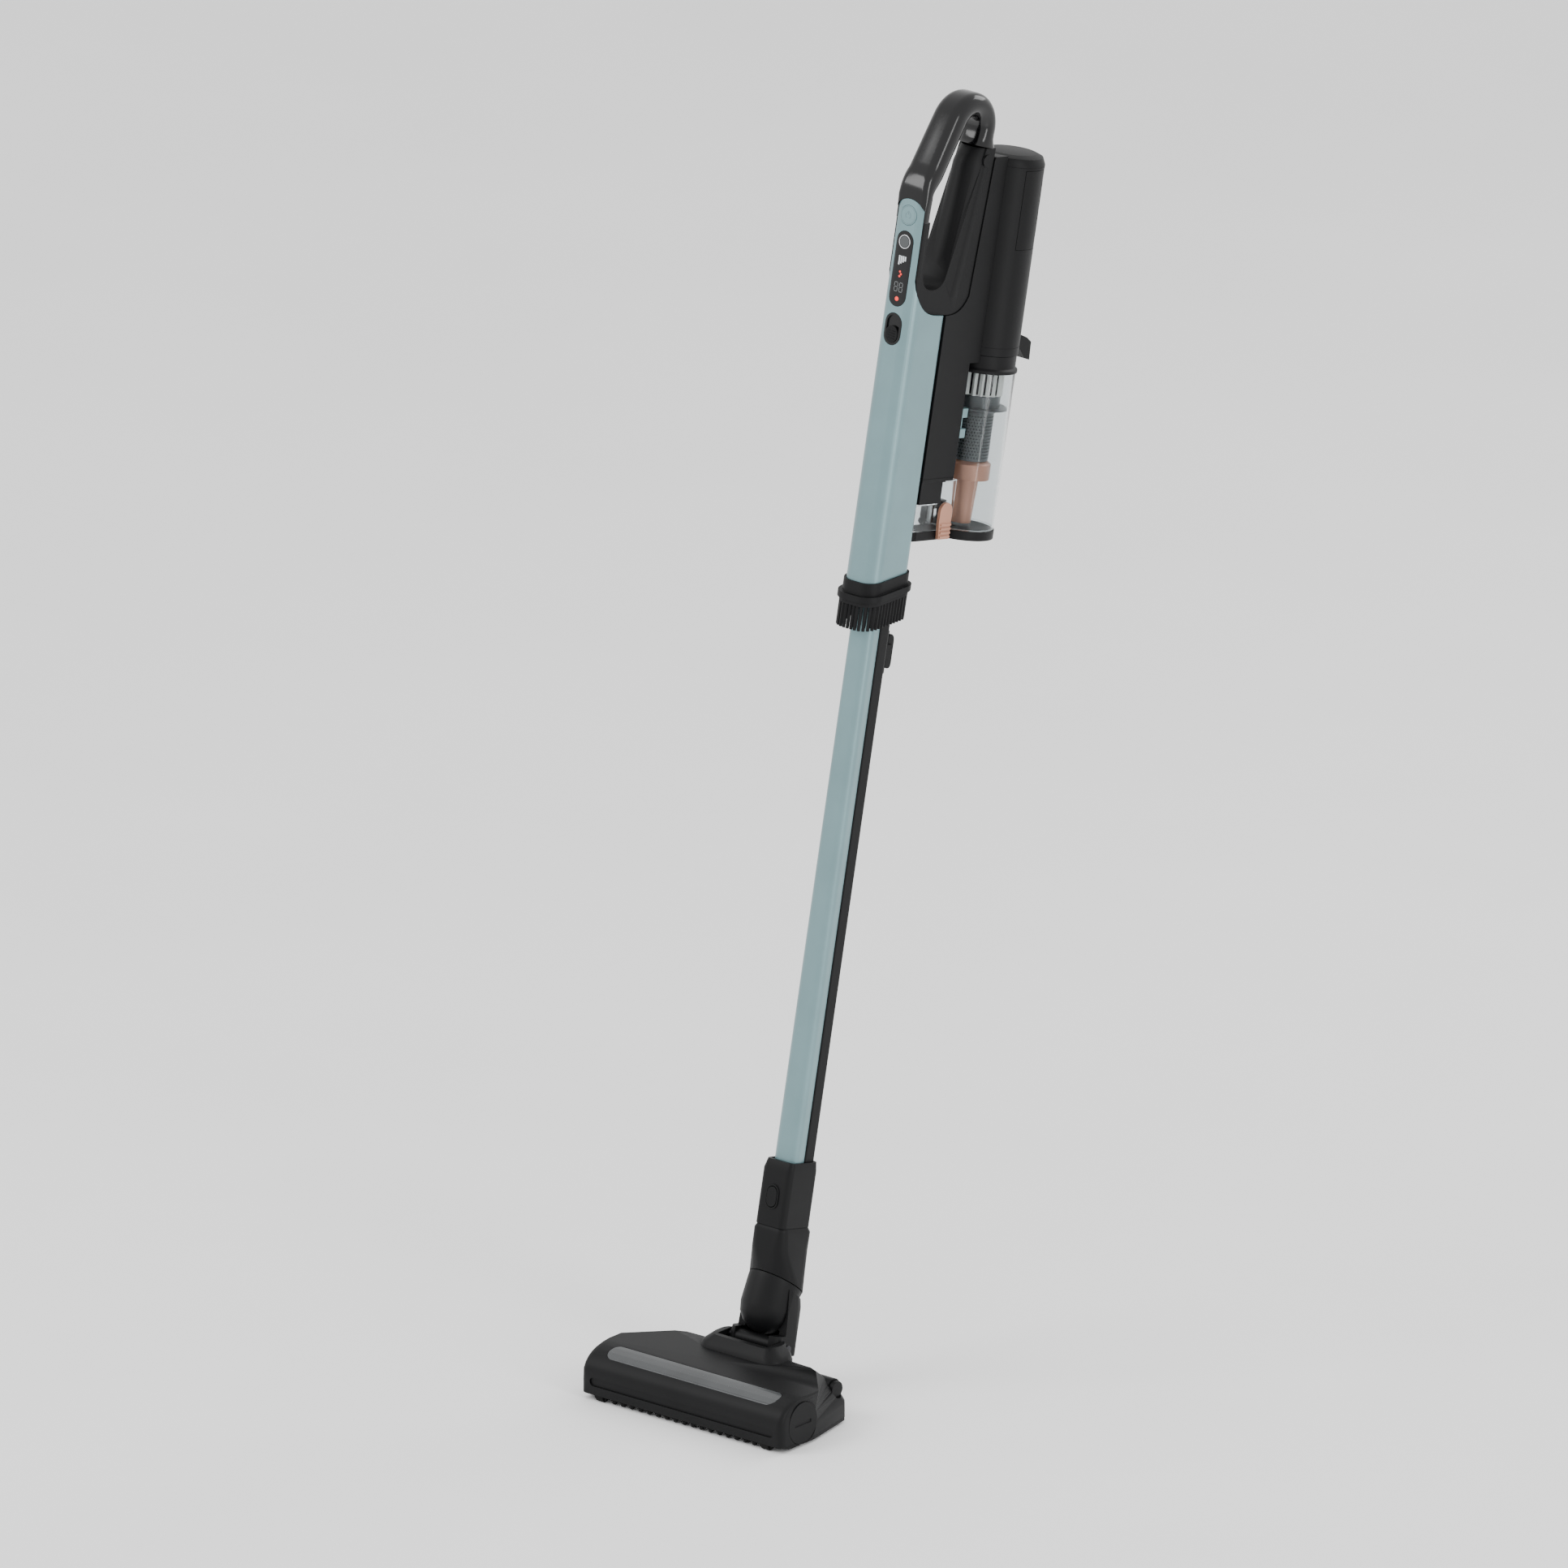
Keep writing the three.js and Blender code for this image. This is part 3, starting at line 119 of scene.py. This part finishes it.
def bump(tree, principled, height, strength, distance):
    made = tree.nodes.new("ShaderNodeBump")
    made.inputs["Strength"].default_value = strength
    made.inputs["Distance"].default_value = distance
    tree.links.new(height, made.inputs["Height"])
    tree.links.new(made.outputs["Normal"], principled.inputs["Normal"])


def shade(colour, factor):
    return tuple(c * factor for c in colour)


def moulded(name, colour, roughness, grain=900, depth=0.00004, variation=0.12, metallic=0.0, **sockets):
    """A moulded or painted surface: a fine grain, slight mottling and uneven gloss."""
    made, tree, principled = shader(name, roughness, metallic, **sockets)
    broad = noise(tree, 22, 3)
    fine = noise(tree, grain, 2)
    tone = ramp(tree, broad, shade(colour, 1 - variation), shade(colour, 1 + variation))
    tree.links.new(tone, principled.inputs["Base Color"])
    gloss = spread(tree, fine, max(roughness - 0.06, 0.02), roughness + 0.06)
    tree.links.new(gloss, principled.inputs["Roughness"])
    bump(tree, principled, fine, 0.25, depth)
    return made


def brushed(name, colour, roughness, stretch):
    """Metal with fine brushing along one axis."""
    made, tree, principled = shader(name, roughness, 1.0)
    lines = noise(tree, 60, 6, stretch)
    tone = ramp(tree, lines, shade(colour, 0.82), shade(colour, 1.08))
    tree.links.new(tone, principled.inputs["Base Color"])
    gloss = spread(tree, lines, roughness - 0.05, roughness + 0.1)
    tree.links.new(gloss, principled.inputs["Roughness"])
    bump(tree, principled, lines, 0.15, 0.00003)
    return made


def clear_plastic(name, tint, roughness=0.05):
    made, tree, principled = shader(name, roughness, Transmission_Weight=1.0, IOR=1.25)
    marks = noise(tree, 300, 5)
    tree.links.new(ramp(tree, marks, shade(tint, 0.96), tint), principled.inputs["Base Color"])
    tree.links.new(spread(tree, marks, roughness * 0.6, roughness * 1.6), principled.inputs["Roughness"])
    return made


TEAL = moulded("teal_paint", (0.152, 0.252, 0.27), 0.36, 1600, 0.00001, 0.05, 0.4,
               Coat_Weight=0.2, Coat_Roughness=0.25)
MATT = moulded("black_matt", (0.0042, 0.0043, 0.0047), 0.5, 1500, 0.00003, 0.15, Specular_IOR_Level=0.16)
GLOSS = moulded("black_gloss", (0.003, 0.003, 0.0034), 0.15, 700, 0.000003, 0.2, 0.0,
                Specular_IOR_Level=0.4)
RUBBER = moulded("rubber", (0.005, 0.005, 0.005), 0.75, 1200, 0.00005, 0.2, Specular_IOR_Level=0.15)
DARK_STEEL = brushed("dark_steel", (0.05, 0.05, 0.055), 0.4, (1, 30, 30))
SMOKE = moulded("smoke_grey", (0.055, 0.06, 0.062), 0.3, 900, 0.00001, 0.12)
COPPER = moulded("copper_tone", (0.44, 0.215, 0.145), 0.36, 1400, 0.00001, 0.07, 0.35)
PAPER = moulded("filter_paper", (0.72, 0.72, 0.69), 0.9, 700, 0.00008, 0.05)
FOAM = moulded("foam", (0.04, 0.04, 0.042), 0.95, 500, 0.0003, 0.3)
BRISTLE = moulded("bristle", (0.007, 0.007, 0.0075), 0.6, 1500, 0.00005, 0.3, Specular_IOR_Level=0.15)
BOARD = moulded("board_green", (0.012, 0.09, 0.04), 0.5, 400, 0.00002, 0.2)
CELL = moulded("cell_wrap", (0.03, 0.16, 0.42), 0.35, 500, 0.00001, 0.1)
HEAD_GLASS = moulded("window_grey", (0.05, 0.053, 0.055), 0.25, 800, 0.00001, 0.12, 0.1)
STEEL = brushed("steel", (0.62, 0.63, 0.65), 0.28, (1, 30, 30))
CLEAR = clear_plastic("clear_plastic", (0.80, 0.835, 0.845))
PALE_MARK = moulded("pale_print", (0.62, 0.66, 0.68), 0.5, 900, 0.00001, 0.04)
RED_MARK = moulded("red_lamp", (0.85, 0.03, 0.02), 0.4, 900, 0.00001, 0.05, 0.0,
                   Emission_Color=(1, 0.05, 0.03, 1), Emission_Strength=0.7)
DIM_TEAL = moulded("dark_teal", (0.13, 0.2, 0.215), 0.4, 900, 0.00001, 0.06, 0.3)
DIM_MARK = moulded("dim_print", (0.16, 0.17, 0.175), 0.45, 900, 0.00001, 0.06)

BY_SLOT = {
    "teal_paint": TEAL, "black_matt": MATT, "black_gloss": GLOSS, "rubber": RUBBER,
    "smoke_grey": SMOKE, "copper_tone": COPPER, "filter_paper": PAPER, "foam": FOAM,
    "bristle": BRISTLE, "board_green": BOARD, "cell_wrap": CELL, "window_grey": HEAD_GLASS,
    "steel": STEEL, "clear_plastic": CLEAR,
}


# ---------------------------------------------------------------- the CAD pieces' own finish
def finish_cad(node, material, bevel):
    node.data.materials.clear()
    node.data.materials.append(material)
    weld = node.modifiers.new("weld", "WELD")
    weld.merge_threshold = 0.00002
    if bevel:
        edge = node.modifiers.new("edge", "BEVEL")
        edge.width = bevel
        edge.segments = 2
        edge.limit_method = "ANGLE"
        edge.angle_limit = SHARP_ANGLE
        even = node.modifiers.new("even", "WEIGHTED_NORMAL")
        even.weight = 60
    for face in node.data.polygons:
        face.use_smooth = bool(bevel)


BEVELS = {
    "dusting_brush": 0, "brush_roll": 0, "motor_filter": 0, "bin_shell": 0.0003,
    "exhaust_cover": 0.0003, "head_hood": 0.0008, "grip_frame": 0.001,
    "battery_spine": 0.001, "pod_shell": 0.0003,
}
OWN_FINISH = {"tilt_pin": DARK_STEEL}
for entry in frame["record"]["subparts"]:
    name = entry["node"]
    material = OWN_FINISH.get(name, BY_SLOT[entry["material_slot"]])
    finish_cad(nodes[name], material, BEVELS.get(name, EDGE_WIDTH))


# ---------------------------------------------------------------- new pieces
QUARTER = math.pi / 2


def mm(x, y, z):
    return Vector((x, y, z)) * MM


def piece(name, bodies, points, faces, material, place=STICK, smooth=True):
    """A new mesh from points in millimetres in the place's own frame, riding on a CAD body."""
    mesh = bpy.data.meshes.new(name)
    mesh.from_pydata([place @ mm(*p) for p in points], [], faces)
    mesh.validate()
    made = bpy.data.objects.new(name, mesh)
    bpy.context.scene.collection.objects.link(made)
    mesh.materials.append(material)
    for face in mesh.polygons:
        face.use_smooth = smooth
    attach(made, bodies)
    return made


def loft_faces(count, rings, start=0):
    """Quads between rings of equal length, and a flat face at each end."""
    faces = []
    for i in range(rings - 1):
        for j in range(count):
            a, b = start + i * count + j, start + i * count + (j + 1) % count
            faces.append((a, b, b + count, a + count))
    last = start + (rings - 1) * count
    faces.append(tuple(start + j for j in reversed(range(count))))
    faces.append(tuple(last + j for j in range(count)))
    return faces


def rod_points(start, end, radius, end_radius, sides):
    """Two rings of points round the line from start to end."""
    start, end = Vector(start), Vector(end)
    turn = (end - start).to_track_quat("Z", "Y")
    points = []
    for centre, r in ((start, radius), (end, end_radius)):
        for j in range(sides):
            a = 2 * math.pi * j / sides
            points.append(centre + turn @ Vector((r * math.cos(a), r * math.sin(a), 0)))
    return points


def rods(name, body, lines, material, place=STICK, sides=6):
    """Many thin rods as one piece. Each line is (start, end, radius, end radius)."""
    points, faces = [], []
    for start, end, radius, end_radius in lines:
        faces += loft_faces(sides, 2, len(points))
        points += rod_points(start, end, radius, end_radius, sides)
    return piece(name, body, points, faces, material, place)


def rounded_section(half, front, rear, radius, per_corner=9):
    """Points of a rounded rectangle centred on x."""
    corners = ((half - radius, rear - radius), (radius - half, rear - radius),
               (radius - half, front + radius), (half - radius, front + radius))
    points = []
    for corner, (x, y) in enumerate(corners):
        for i in range(per_corner):
            a = (corner + i / (per_corner - 1)) * QUARTER
            points.append((x + radius * math.cos(a), y + radius * math.sin(a)))
    return points


def torus(name, body, centre, axis, radius, thickness, material, slot_name,
          start=0.0, turns=1.0):
    """A round ring, or an arc of one, about an axis."""
    centre, turn = Vector(centre), Vector(axis).to_track_quat("Z", "Y")
    around, across = 64, 8
    points, faces = [], []
    for i in range(around):
        a = start + 2 * math.pi * turns * i / (around if turns == 1 else around - 1)
        out = Vector((math.cos(a), math.sin(a), 0))
        for j in range(across):
            b = 2 * math.pi * j / across
            local = out * (radius + thickness * math.cos(b)) + Vector((0, 0, thickness * math.sin(b)))
            points.append(centre + turn @ local)
    spans = around if turns == 1 else around - 1
    for i in range(spans):
        for j in range(across):
            a, b = i * across + j, i * across + (j + 1) % across
            c, d = (a + across) % (around * across), (b + across) % (around * across)
            faces.append((a, c, d, b))
    if turns != 1:
        faces.append(tuple(range(across)))
        faces.append(tuple(reversed(range((around - 1) * across, around * across))))
    return piece(name, body, points, faces, material)


def plate(name, body, x0, x1, y0, y1, z0, z1, material):
    """A plain block."""
    points = [(x, y, z) for x in (x0, x1) for y in (y0, y1) for z in (z0, z1)]
    faces = [(0, 1, 3, 2), (4, 6, 7, 5), (0, 4, 5, 1), (2, 3, 7, 6), (0, 2, 6, 4), (1, 5, 7, 3)]
    return piece(name, body, points, faces, material, smooth=False)


def cut_away(made, cutter):
    """Takes the cutter's shape out of a piece for good, and removes the cutter."""
    boolean = made.modifiers.new("cut", "BOOLEAN")
    boolean.object = cutter
    boolean.solver = "EXACT"
    evaluated = made.evaluated_get(bpy.context.evaluated_depsgraph_get())
    mesh = bpy.data.meshes.new_from_object(evaluated)
    made.modifiers.clear()
    made.data = mesh
    bpy.data.objects.remove(cutter)


def soften_edges(made, width):
    edge = made.modifiers.new("edge", "BEVEL")
    edge.width = width
    edge.segments = 3
    edge.limit_method = "ANGLE"
    edge.angle_limit = SHARP_ANGLE
    edge.harden_normals = True


# ---------------------------------------------------------------- handle
# Sizes in millimetres in the stick's frame, as the CAD has them.
GRIP = {"y": 46.6, "z": 1084.0, "slope": 0.166, "high": 1172.0}
BEND = {"y": 37.6, "z": 1190.0, "radius": 24.8}
FOOT = {"front": -27.6, "rear": -14.3, "half": 18.6, "radius": 5.5, "top": 1127.0}
SLOPE_START = {"y": -10.2, "z": 1149.6, "thick": 11.2, "half": 17.8, "radius": 9.8}
KNEE_Z = 1136.0
TONGUE_GAP = 0.3
TONGUE = {"half": 20.3, "top": 1124.0, "low": 1080.0, "front": -40.0, "back": -23.7}
RISE = math.radians(24.5)
FALL = math.atan(GRIP["slope"]) + math.pi
# Height, half width, half thickness and corner radius where the leg swells into the grip.
SWELL = ((1181, 16.1, 11.4, 10.4), (1177.5, 16.5, 12.4, 11), (1174.8, 17.1, 14.2, 12.5),
         (1173.2, 17.6, 16.2, 14.5), (1172.5, 17.7, 17.2, 15.5))


def handle_station(y, z, turn, half, thick, radius):
    """One cross-section of the handle; turn 0 is straight up and grows towards the rear."""
    outward = Vector((0, -math.cos(turn), math.sin(turn)))
    return [Vector((x, y, z)) - outward * depth
            for x, depth in rounded_section(half, -thick, thick, radius)]


def ease(t):
    return t * t * (3 - 2 * t)


def between(low, high, t):
    return low + (high - low) * t


def handle_foot():
    """The straight foot above the strap, and the knee that leads into the slope."""
    centre = (FOOT["rear"] + FOOT["front"]) / 2
    thick = (FOOT["rear"] - FOOT["front"]) / 2
    rings = [handle_station(centre, z, 0, half, thick, FOOT["radius"])
             for z, half in ((1103.2, 17.75), (1112, 17.9), (1120, 18.3), (FOOT["top"], FOOT["half"]))]
    steps = 10
    for i in range(1, steps + 1):
        t = i / steps
        before, at, after = (1 - t) ** 2, 2 * (1 - t) * t, t * t
        y = before * centre + at * centre + after * SLOPE_START["y"]
        z = before * FOOT["top"] + at * KNEE_Z + after * SLOPE_START["z"]
        rings.append(handle_station(
            y, z, RISE * ease(t), between(FOOT["half"], SLOPE_START["half"], t),
            between(thick, SLOPE_START["thick"], ease(t)), between(FOOT["radius"], SLOPE_START["radius"], t)))
    return rings


def handle_slope():
    """The straight front slope, up to the bend."""
    end_y = BEND["y"] - BEND["radius"] * math.cos(RISE)
    end_z = BEND["z"] + BEND["radius"] * math.sin(RISE)
    steps = 9
    rings = []
    for i in range(1, steps):
        t = i / steps
        y = between(SLOPE_START["y"], end_y, t)
        z = between(SLOPE_START["z"], end_z, t)
        rings.append(handle_station(
            y, z, RISE, SLOPE_START["half"] - t, SLOPE_START["thick"] + 0.8 * ease(t),
            SLOPE_START["radius"] + 0.6 * t))
    return rings


def handle_bend():
    """The round bend at the top, and the swelling down to the grip."""
    steps = 32
    rings = []
    for i in range(steps + 1):
        t = i / steps
        turn = between(RISE, FALL, t)
        y = BEND["y"] - BEND["radius"] * math.cos(turn)
        z = BEND["z"] + BEND["radius"] * math.sin(turn)
        rings.append(handle_station(y, z, turn, 16.8 - 0.7 * t, 12.0 - 0.8 * t, 10.4))
    for z, half, thick, radius in SWELL:
        centre = GRIP["y"] + (z - GRIP["z"]) * GRIP["slope"] - (z - GRIP["high"]) / 9
        rings.append(handle_station(centre, z, FALL, half, thick, radius))
    return rings


def tongue_cutter():
    """The round-topped tongue of the teal pod, with a gap round it."""
    steps = 32
    centre_z = TONGUE["top"] - TONGUE["half"] + TONGUE_GAP
    arc = [math.pi * i / steps for i in range(steps + 1)]
    outline = [(TONGUE["half"] * math.cos(a), centre_z + TONGUE["half"] * math.sin(a)) for a in arc]
    outline += [(-TONGUE["half"], TONGUE["low"]), (TONGUE["half"], TONGUE["low"])]
    points = [(x, y, z) for y in (TONGUE["front"], TONGUE["back"]) for x, z in outline]
    n = len(outline)
    faces = [tuple(range(n)), tuple(range(2 * n - 1, n - 1, -1))]
    faces += [(j, n + j, n + (j + 1) % n, (j + 1) % n) for j in range(n)]
    return piece("tongue_cutter", "hand_unit", points, faces, GLOSS)


def make_handle():
    rings = handle_foot() + handle_slope() + handle_bend()
    made = piece("handle_loop_smooth", "hand_unit", [p for ring in rings for p in ring],
                 loft_faces(len(rings[0]), len(rings)), GLOSS)
    cutter = tongue_cutter()
    turn_faces_out(cutter)
    turn_faces_out(made)
    cut_away(made, cutter)
    for face in made.data.polygons:
        face.use_smooth = True
    soften_edges(made, EDGE_WIDTH)
    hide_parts("handle_loop")


def turn_faces_out(made):
    shape = bmesh.new()
    shape.from_mesh(made.data)
    bmesh.ops.recalc_face_normals(shape, faces=shape.faces)
    shape.to_mesh(made.data)
    shape.free()


# ---------------------------------------------------------------- controls on the hand unit
FACE = -28.0  # the pod's front
MODE_Z, POWER_Z = 1082.0, 1108.0
ALONG_Y = (0, 1, 0)
# Each bar is the x of its middle, a height 2 mm above its lower end, and its length.
LEVEL_BARS = ((-3.4, 1061, 9), (-1.0, 1062.5, 7.4), (1.4, 1064, 6), (3.8, 1065.5, 4.4))
WARNING_DOTS = ((-0.6, 1052.5), (0.9, 1050.2), (-0.6, 1048))
DIGITS = {"z": 1037.5, "left": -3, "right": 3}
# Each segment of a digit is its middle's offset, its width and its height.
SEGMENTS = (
    (0, 4.4, 3.4, 0.5), (0, 0, 3.4, 0.5), (0, -4.4, 3.4, 0.5), (-1.9, 2.2, 0.5, 3.2),
    (1.9, 2.2, 0.5, 3.2), (-1.9, -2.2, 0.5, 3.2), (1.9, -2.2, 0.5, 3.2),
)


def lamp_dot(name, x, z, radius, sides):
    line = ((x, FACE + 0.2, z), (x, FACE - 0.12, z), radius, radius)
    rods(name, "hand_unit", [line], RED_MARK, sides=sides)


def lit_block(name, x, z, wide, tall, material):
    """A small bar on the display, from its middle and its lower end."""
    plate(name, "hand_unit", x - wide / 2, x + wide / 2, FACE - 0.12, FACE + 0.2, z, z + tall,
          material)


def make_control_marks():
    """The lit marks on the display, the ring and sign on the power key, and the slide's ribs."""
    for i, (x, z, tall) in enumerate(LEVEL_BARS):
        lit_block(f"level_bar_{i + 1}", x, z - 2, 1.6, tall, PALE_MARK)
    for i, (x, z) in enumerate(WARNING_DOTS):
        lamp_dot(f"warning_dot_{i + 1}", x, z, 1.1, 20)
    lamp_dot("charge_dot", 0, 1026, 2.2, 24)
    for digit in ("left", "right"):
        for i, (dx, dz, wide, tall) in enumerate(SEGMENTS):
            lit_block(f"segment_{digit}_{i + 1}", DIGITS[digit] + dx, DIGITS["z"] + dz - tall / 2,
                      wide, tall, DIM_MARK)
    torus("mode_key_rim", "hand_unit", (0, FACE - 0.1, MODE_Z), ALONG_Y, 6.4, 0.5, STEEL, "steel")
    torus("power_key_ring", "power_key", (0, FACE - 0.25, POWER_Z), ALONG_Y, 8.6, 0.3, DIM_TEAL, "teal_paint")
    sign_y = FACE - 0.28
    torus("power_sign_arc", "power_key", (0, sign_y, POWER_Z), ALONG_Y, 3.0, 0.28, DIM_TEAL, "teal_paint",
          start=-QUARTER + 0.6, turns=0.81)
    bar = ((0, sign_y, POWER_Z + 1), (0, sign_y, POWER_Z + 4.2), 0.3, 0.3)
    rods("power_sign_bar", "power_key", [bar], DIM_TEAL)
    ribs = [((-4.5, -28.75, z), (4.5, -28.75, z), 0.4, 0.4) for z in (987, 989.5, 992, 994.5)]
    rods("slider_ribs", "slider", ribs, MATT, sides=8)


# ---------------------------------------------------------------- brushes
# The brush roll's axis, from the head's front edge and the floor, and where its hair starts.
ROLL = {"depth": 32.7, "height": 24.0, "left": -99.0, "length": 206.0, "root": 13.5}
HAIR_ROWS, HAIR_STEPS, HAIR_LENGTH = 4, 150, 8
# The outline of the dusting brush, whose rim rises to the rear by the slant.
DUSTER = {"half": 21.6, "front": -30.0, "rear": 31.0, "radius": 13, "rim": 733, "length": 22}
DUSTER_SLANT = math.tan(math.radians(11))
HAIR_SPACING = 1.3


def make_roll_bristles():
    """Rows of hair wound round the brush roll between its fins."""
    lines = []
    for row in range(HAIR_ROWS):
        for i in range(HAIR_STEPS):
            t = (i + 0.5) / HAIR_STEPS
            x = ROLL["left"] + ROLL["length"] * t
            for side in (-0.05, 0.05):
                a = (row + 0.5) * QUARTER + 2 * math.pi * t + side + random.uniform(-0.03, 0.03)
                out = Vector((0, math.cos(a), math.sin(a)))
                centre = Vector((x + random.uniform(-0.3, 0.3), ROLL["depth"], ROLL["height"]))
                root = centre + out * ROLL["root"]
                tip = root + out * HAIR_LENGTH + Vector((random.uniform(-0.8, 0.8), 0, 0))
                lines.append((root, tip, 0.42, 0.3))
    rods("roll_bristles", "roll", lines, BRISTLE, HEAD, sides=4)


def make_dusting_bristles():
    """Fine hair among the tufts of the dusting brush."""
    ring = rounded_section(DUSTER["half"], DUSTER["front"], DUSTER["rear"], DUSTER["radius"], 12)
    lines = []
    for i in range(len(ring)):
        a, b = Vector(ring[i]), Vector(ring[(i + 1) % len(ring)])
        count = max(1, round((b - a).length / HAIR_SPACING))
        for j in range(count):
            p = a.lerp(b, (j + random.random() * 0.6) / count)
            z = DUSTER["rim"] + p.y * DUSTER_SLANT
            tip_x = p.x + random.uniform(-0.3, 0.3)
            tip_y = p.y + random.uniform(-0.3, 0.3)
            tip_z = z - DUSTER["length"] - random.uniform(0, 1.5)
            lines.append(((p.x, p.y, z), (tip_x, tip_y, tip_z), 0.55, 0.45))
    rods("dusting_hair", "hand_unit", lines, BRISTLE, sides=5)


# ---------------------------------------------------------------- bin, housing and sole details
CAN_Y = 119.0  # the axis that the motor housing and the dust bin share
FILTER = {"pleats": 20, "valley": 21.6, "low": 926.5, "tall": 20.0}
SHROUD = {"rows": 14, "holes": 40, "low": 864, "step": 3.1, "radius": 18.3}
SOLE_SCREWS = ((-70, 64), (70, 64), (-40, 100), (40, 100), (-119, 40), (-100, 78), (100, 78))


def around(index, count):
    """A unit vector across the can, for one of a number of equal turns."""
    a = 2 * math.pi * index / count
    return Vector((math.cos(a), math.sin(a), 0))


def can_ring(name, body, z, radius, thickness, material, slot_name, **arc):
    torus(name, body, (0, CAN_Y, z), (0, 0, 1), radius, thickness, material, slot_name, **arc)


def make_can_details():
    can_ring("bin_top_seal", "dust_bin", 950.5, 33.2, 0.9, RUBBER, "black_matt")
    can_ring("bin_foot_rim", "dust_bin", 796.2, 32.8, 0.5, CLEAR, "clear_plastic")
    can_ring("fill_line", "dust_bin", 868, 33.05, 0.25, DIM_MARK, "black_matt", start=0.2, turns=0.2)
    holes = []
    for row in range(SHROUD["rows"]):
        for i in range(SHROUD["holes"]):
            out = around(i + 0.5 * (row % 2), SHROUD["holes"])
            centre = Vector((0, CAN_Y, SHROUD["low"] + row * SHROUD["step"]))
            root = centre + out * SHROUD["radius"]
            holes.append((root, root + out * 0.22, 0.75, 0.75))
    rods("shroud_mesh", "dust_bin", holes, RUBBER, sides=6)
    folds = []
    for i in range(FILTER["pleats"]):
        foot = Vector((0, CAN_Y, FILTER["low"])) + around(i, FILTER["pleats"]) * FILTER["valley"]
        folds.append((foot, foot + Vector((0, 0, FILTER["tall"])), 0.9, 0.9))
    rods("filter_slots", "dust_bin", folds, RUBBER, sides=8)
    can_ring("housing_seam", "hand_unit", 975, 32.98, 0.2, RUBBER, "black_matt")
    can_ring("housing_top_seam", "hand_unit", 1152.6, 32.98, 0.2, RUBBER, "black_matt")


def sole_screw(name, x, y):
    """A round screw head in the sole, with a cross in it."""
    radius, tall = 2.4, 0.8
    centre, down = Vector((x, y, 3.05)), Vector((0, 0, -1))
    head = (centre, centre + down * tall, radius, radius * 0.9)
    rods(name, "floor_head", [head], STEEL, HEAD, sides=20)
    turn = down.to_track_quat("Z", "Y")
    face = centre + down * (tall + 0.02)
    arms = []
    for a in (0, QUARTER):
        reach = turn @ (Vector((math.cos(a), math.sin(a), 0)) * radius * 0.6)
        arms.append((face - reach, face + reach, 0.3, 0.3))
    rods(name + "_cross", "floor_head", arms, RUBBER, HEAD, sides=4)


make_handle()
make_control_marks()
make_roll_bristles()
make_dusting_bristles()
make_can_details()
for i, (x, y) in enumerate(SOLE_SCREWS):
    sole_screw(f"sole_screw_{i + 1}", x, y)


# ---------------------------------------------------------------- setting, light and camera
def make_floor():
    bpy.ops.mesh.primitive_plane_add(size=12, location=(0, 0, 0))
    floor = bpy.context.object
    floor.name = "floor"
    made, tree, principled = shader("floor_pale", 0.7)
    tone = ramp(tree, noise(tree, 3, 3), (0.90, 0.90, 0.90), (0.93, 0.93, 0.93))
    tree.links.new(tone, principled.inputs["Base Color"])
    floor.data.materials.append(made)


def make_light(name, place, aim, size, power):
    lamp = bpy.data.lights.new(name, "AREA")
    lamp.energy = power
    lamp.shape = "RECTANGLE"
    lamp.size, lamp.size_y = size
    holder = bpy.data.objects.new(name, lamp)
    bpy.context.scene.collection.objects.link(holder)
    holder.location = place
    holder.rotation_euler = (Vector(aim) - Vector(place)).to_track_quat("-Z", "Y").to_euler()


AZIMUTH, ELEVATION = math.radians(39.8), math.radians(20.5)
FRAME_WIDTH = 1.501  # metres across the picture
AIM = Vector((0, TILT_POINT.y + 0.0419, 0.6126))
CAMERA_DISTANCE = 5


def make_camera():
    lens = bpy.data.cameras.new("camera")
    lens.type = "ORTHO"
    lens.ortho_scale = FRAME_WIDTH
    lens.clip_end = 50
    camera = bpy.data.objects.new("camera", lens)
    bpy.context.scene.collection.objects.link(camera)
    level = math.cos(ELEVATION)
    away = Vector((math.sin(AZIMUTH) * level, -math.cos(AZIMUTH) * level, math.sin(ELEVATION)))
    camera.location = AIM + away * CAMERA_DISTANCE
    camera.rotation_euler = (-away).to_track_quat("-Z", "Y").to_euler()
    bpy.context.scene.camera = camera


def make_world():
    world = bpy.data.worlds.new("studio")
    world.use_nodes = True
    background = world.node_tree.nodes["Background"]
    background.inputs["Color"].default_value = (1, 1, 1, 1)
    background.inputs["Strength"].default_value = 1.3
    bpy.context.scene.world = world


make_camera()
make_world()
make_floor()
make_light("key", (-1.6, -2.4, 2.6), (0, 0, 0.7), (1.6, 1.6), 55)
make_light("side", (2.8, -0.6, 1.5), (0, 0, 0.6), (0.7, 2.2), 38)
make_light("rim", (0.6, 2.6, 2.2), (0, 0, 0.8), (1.4, 1.4), 30)
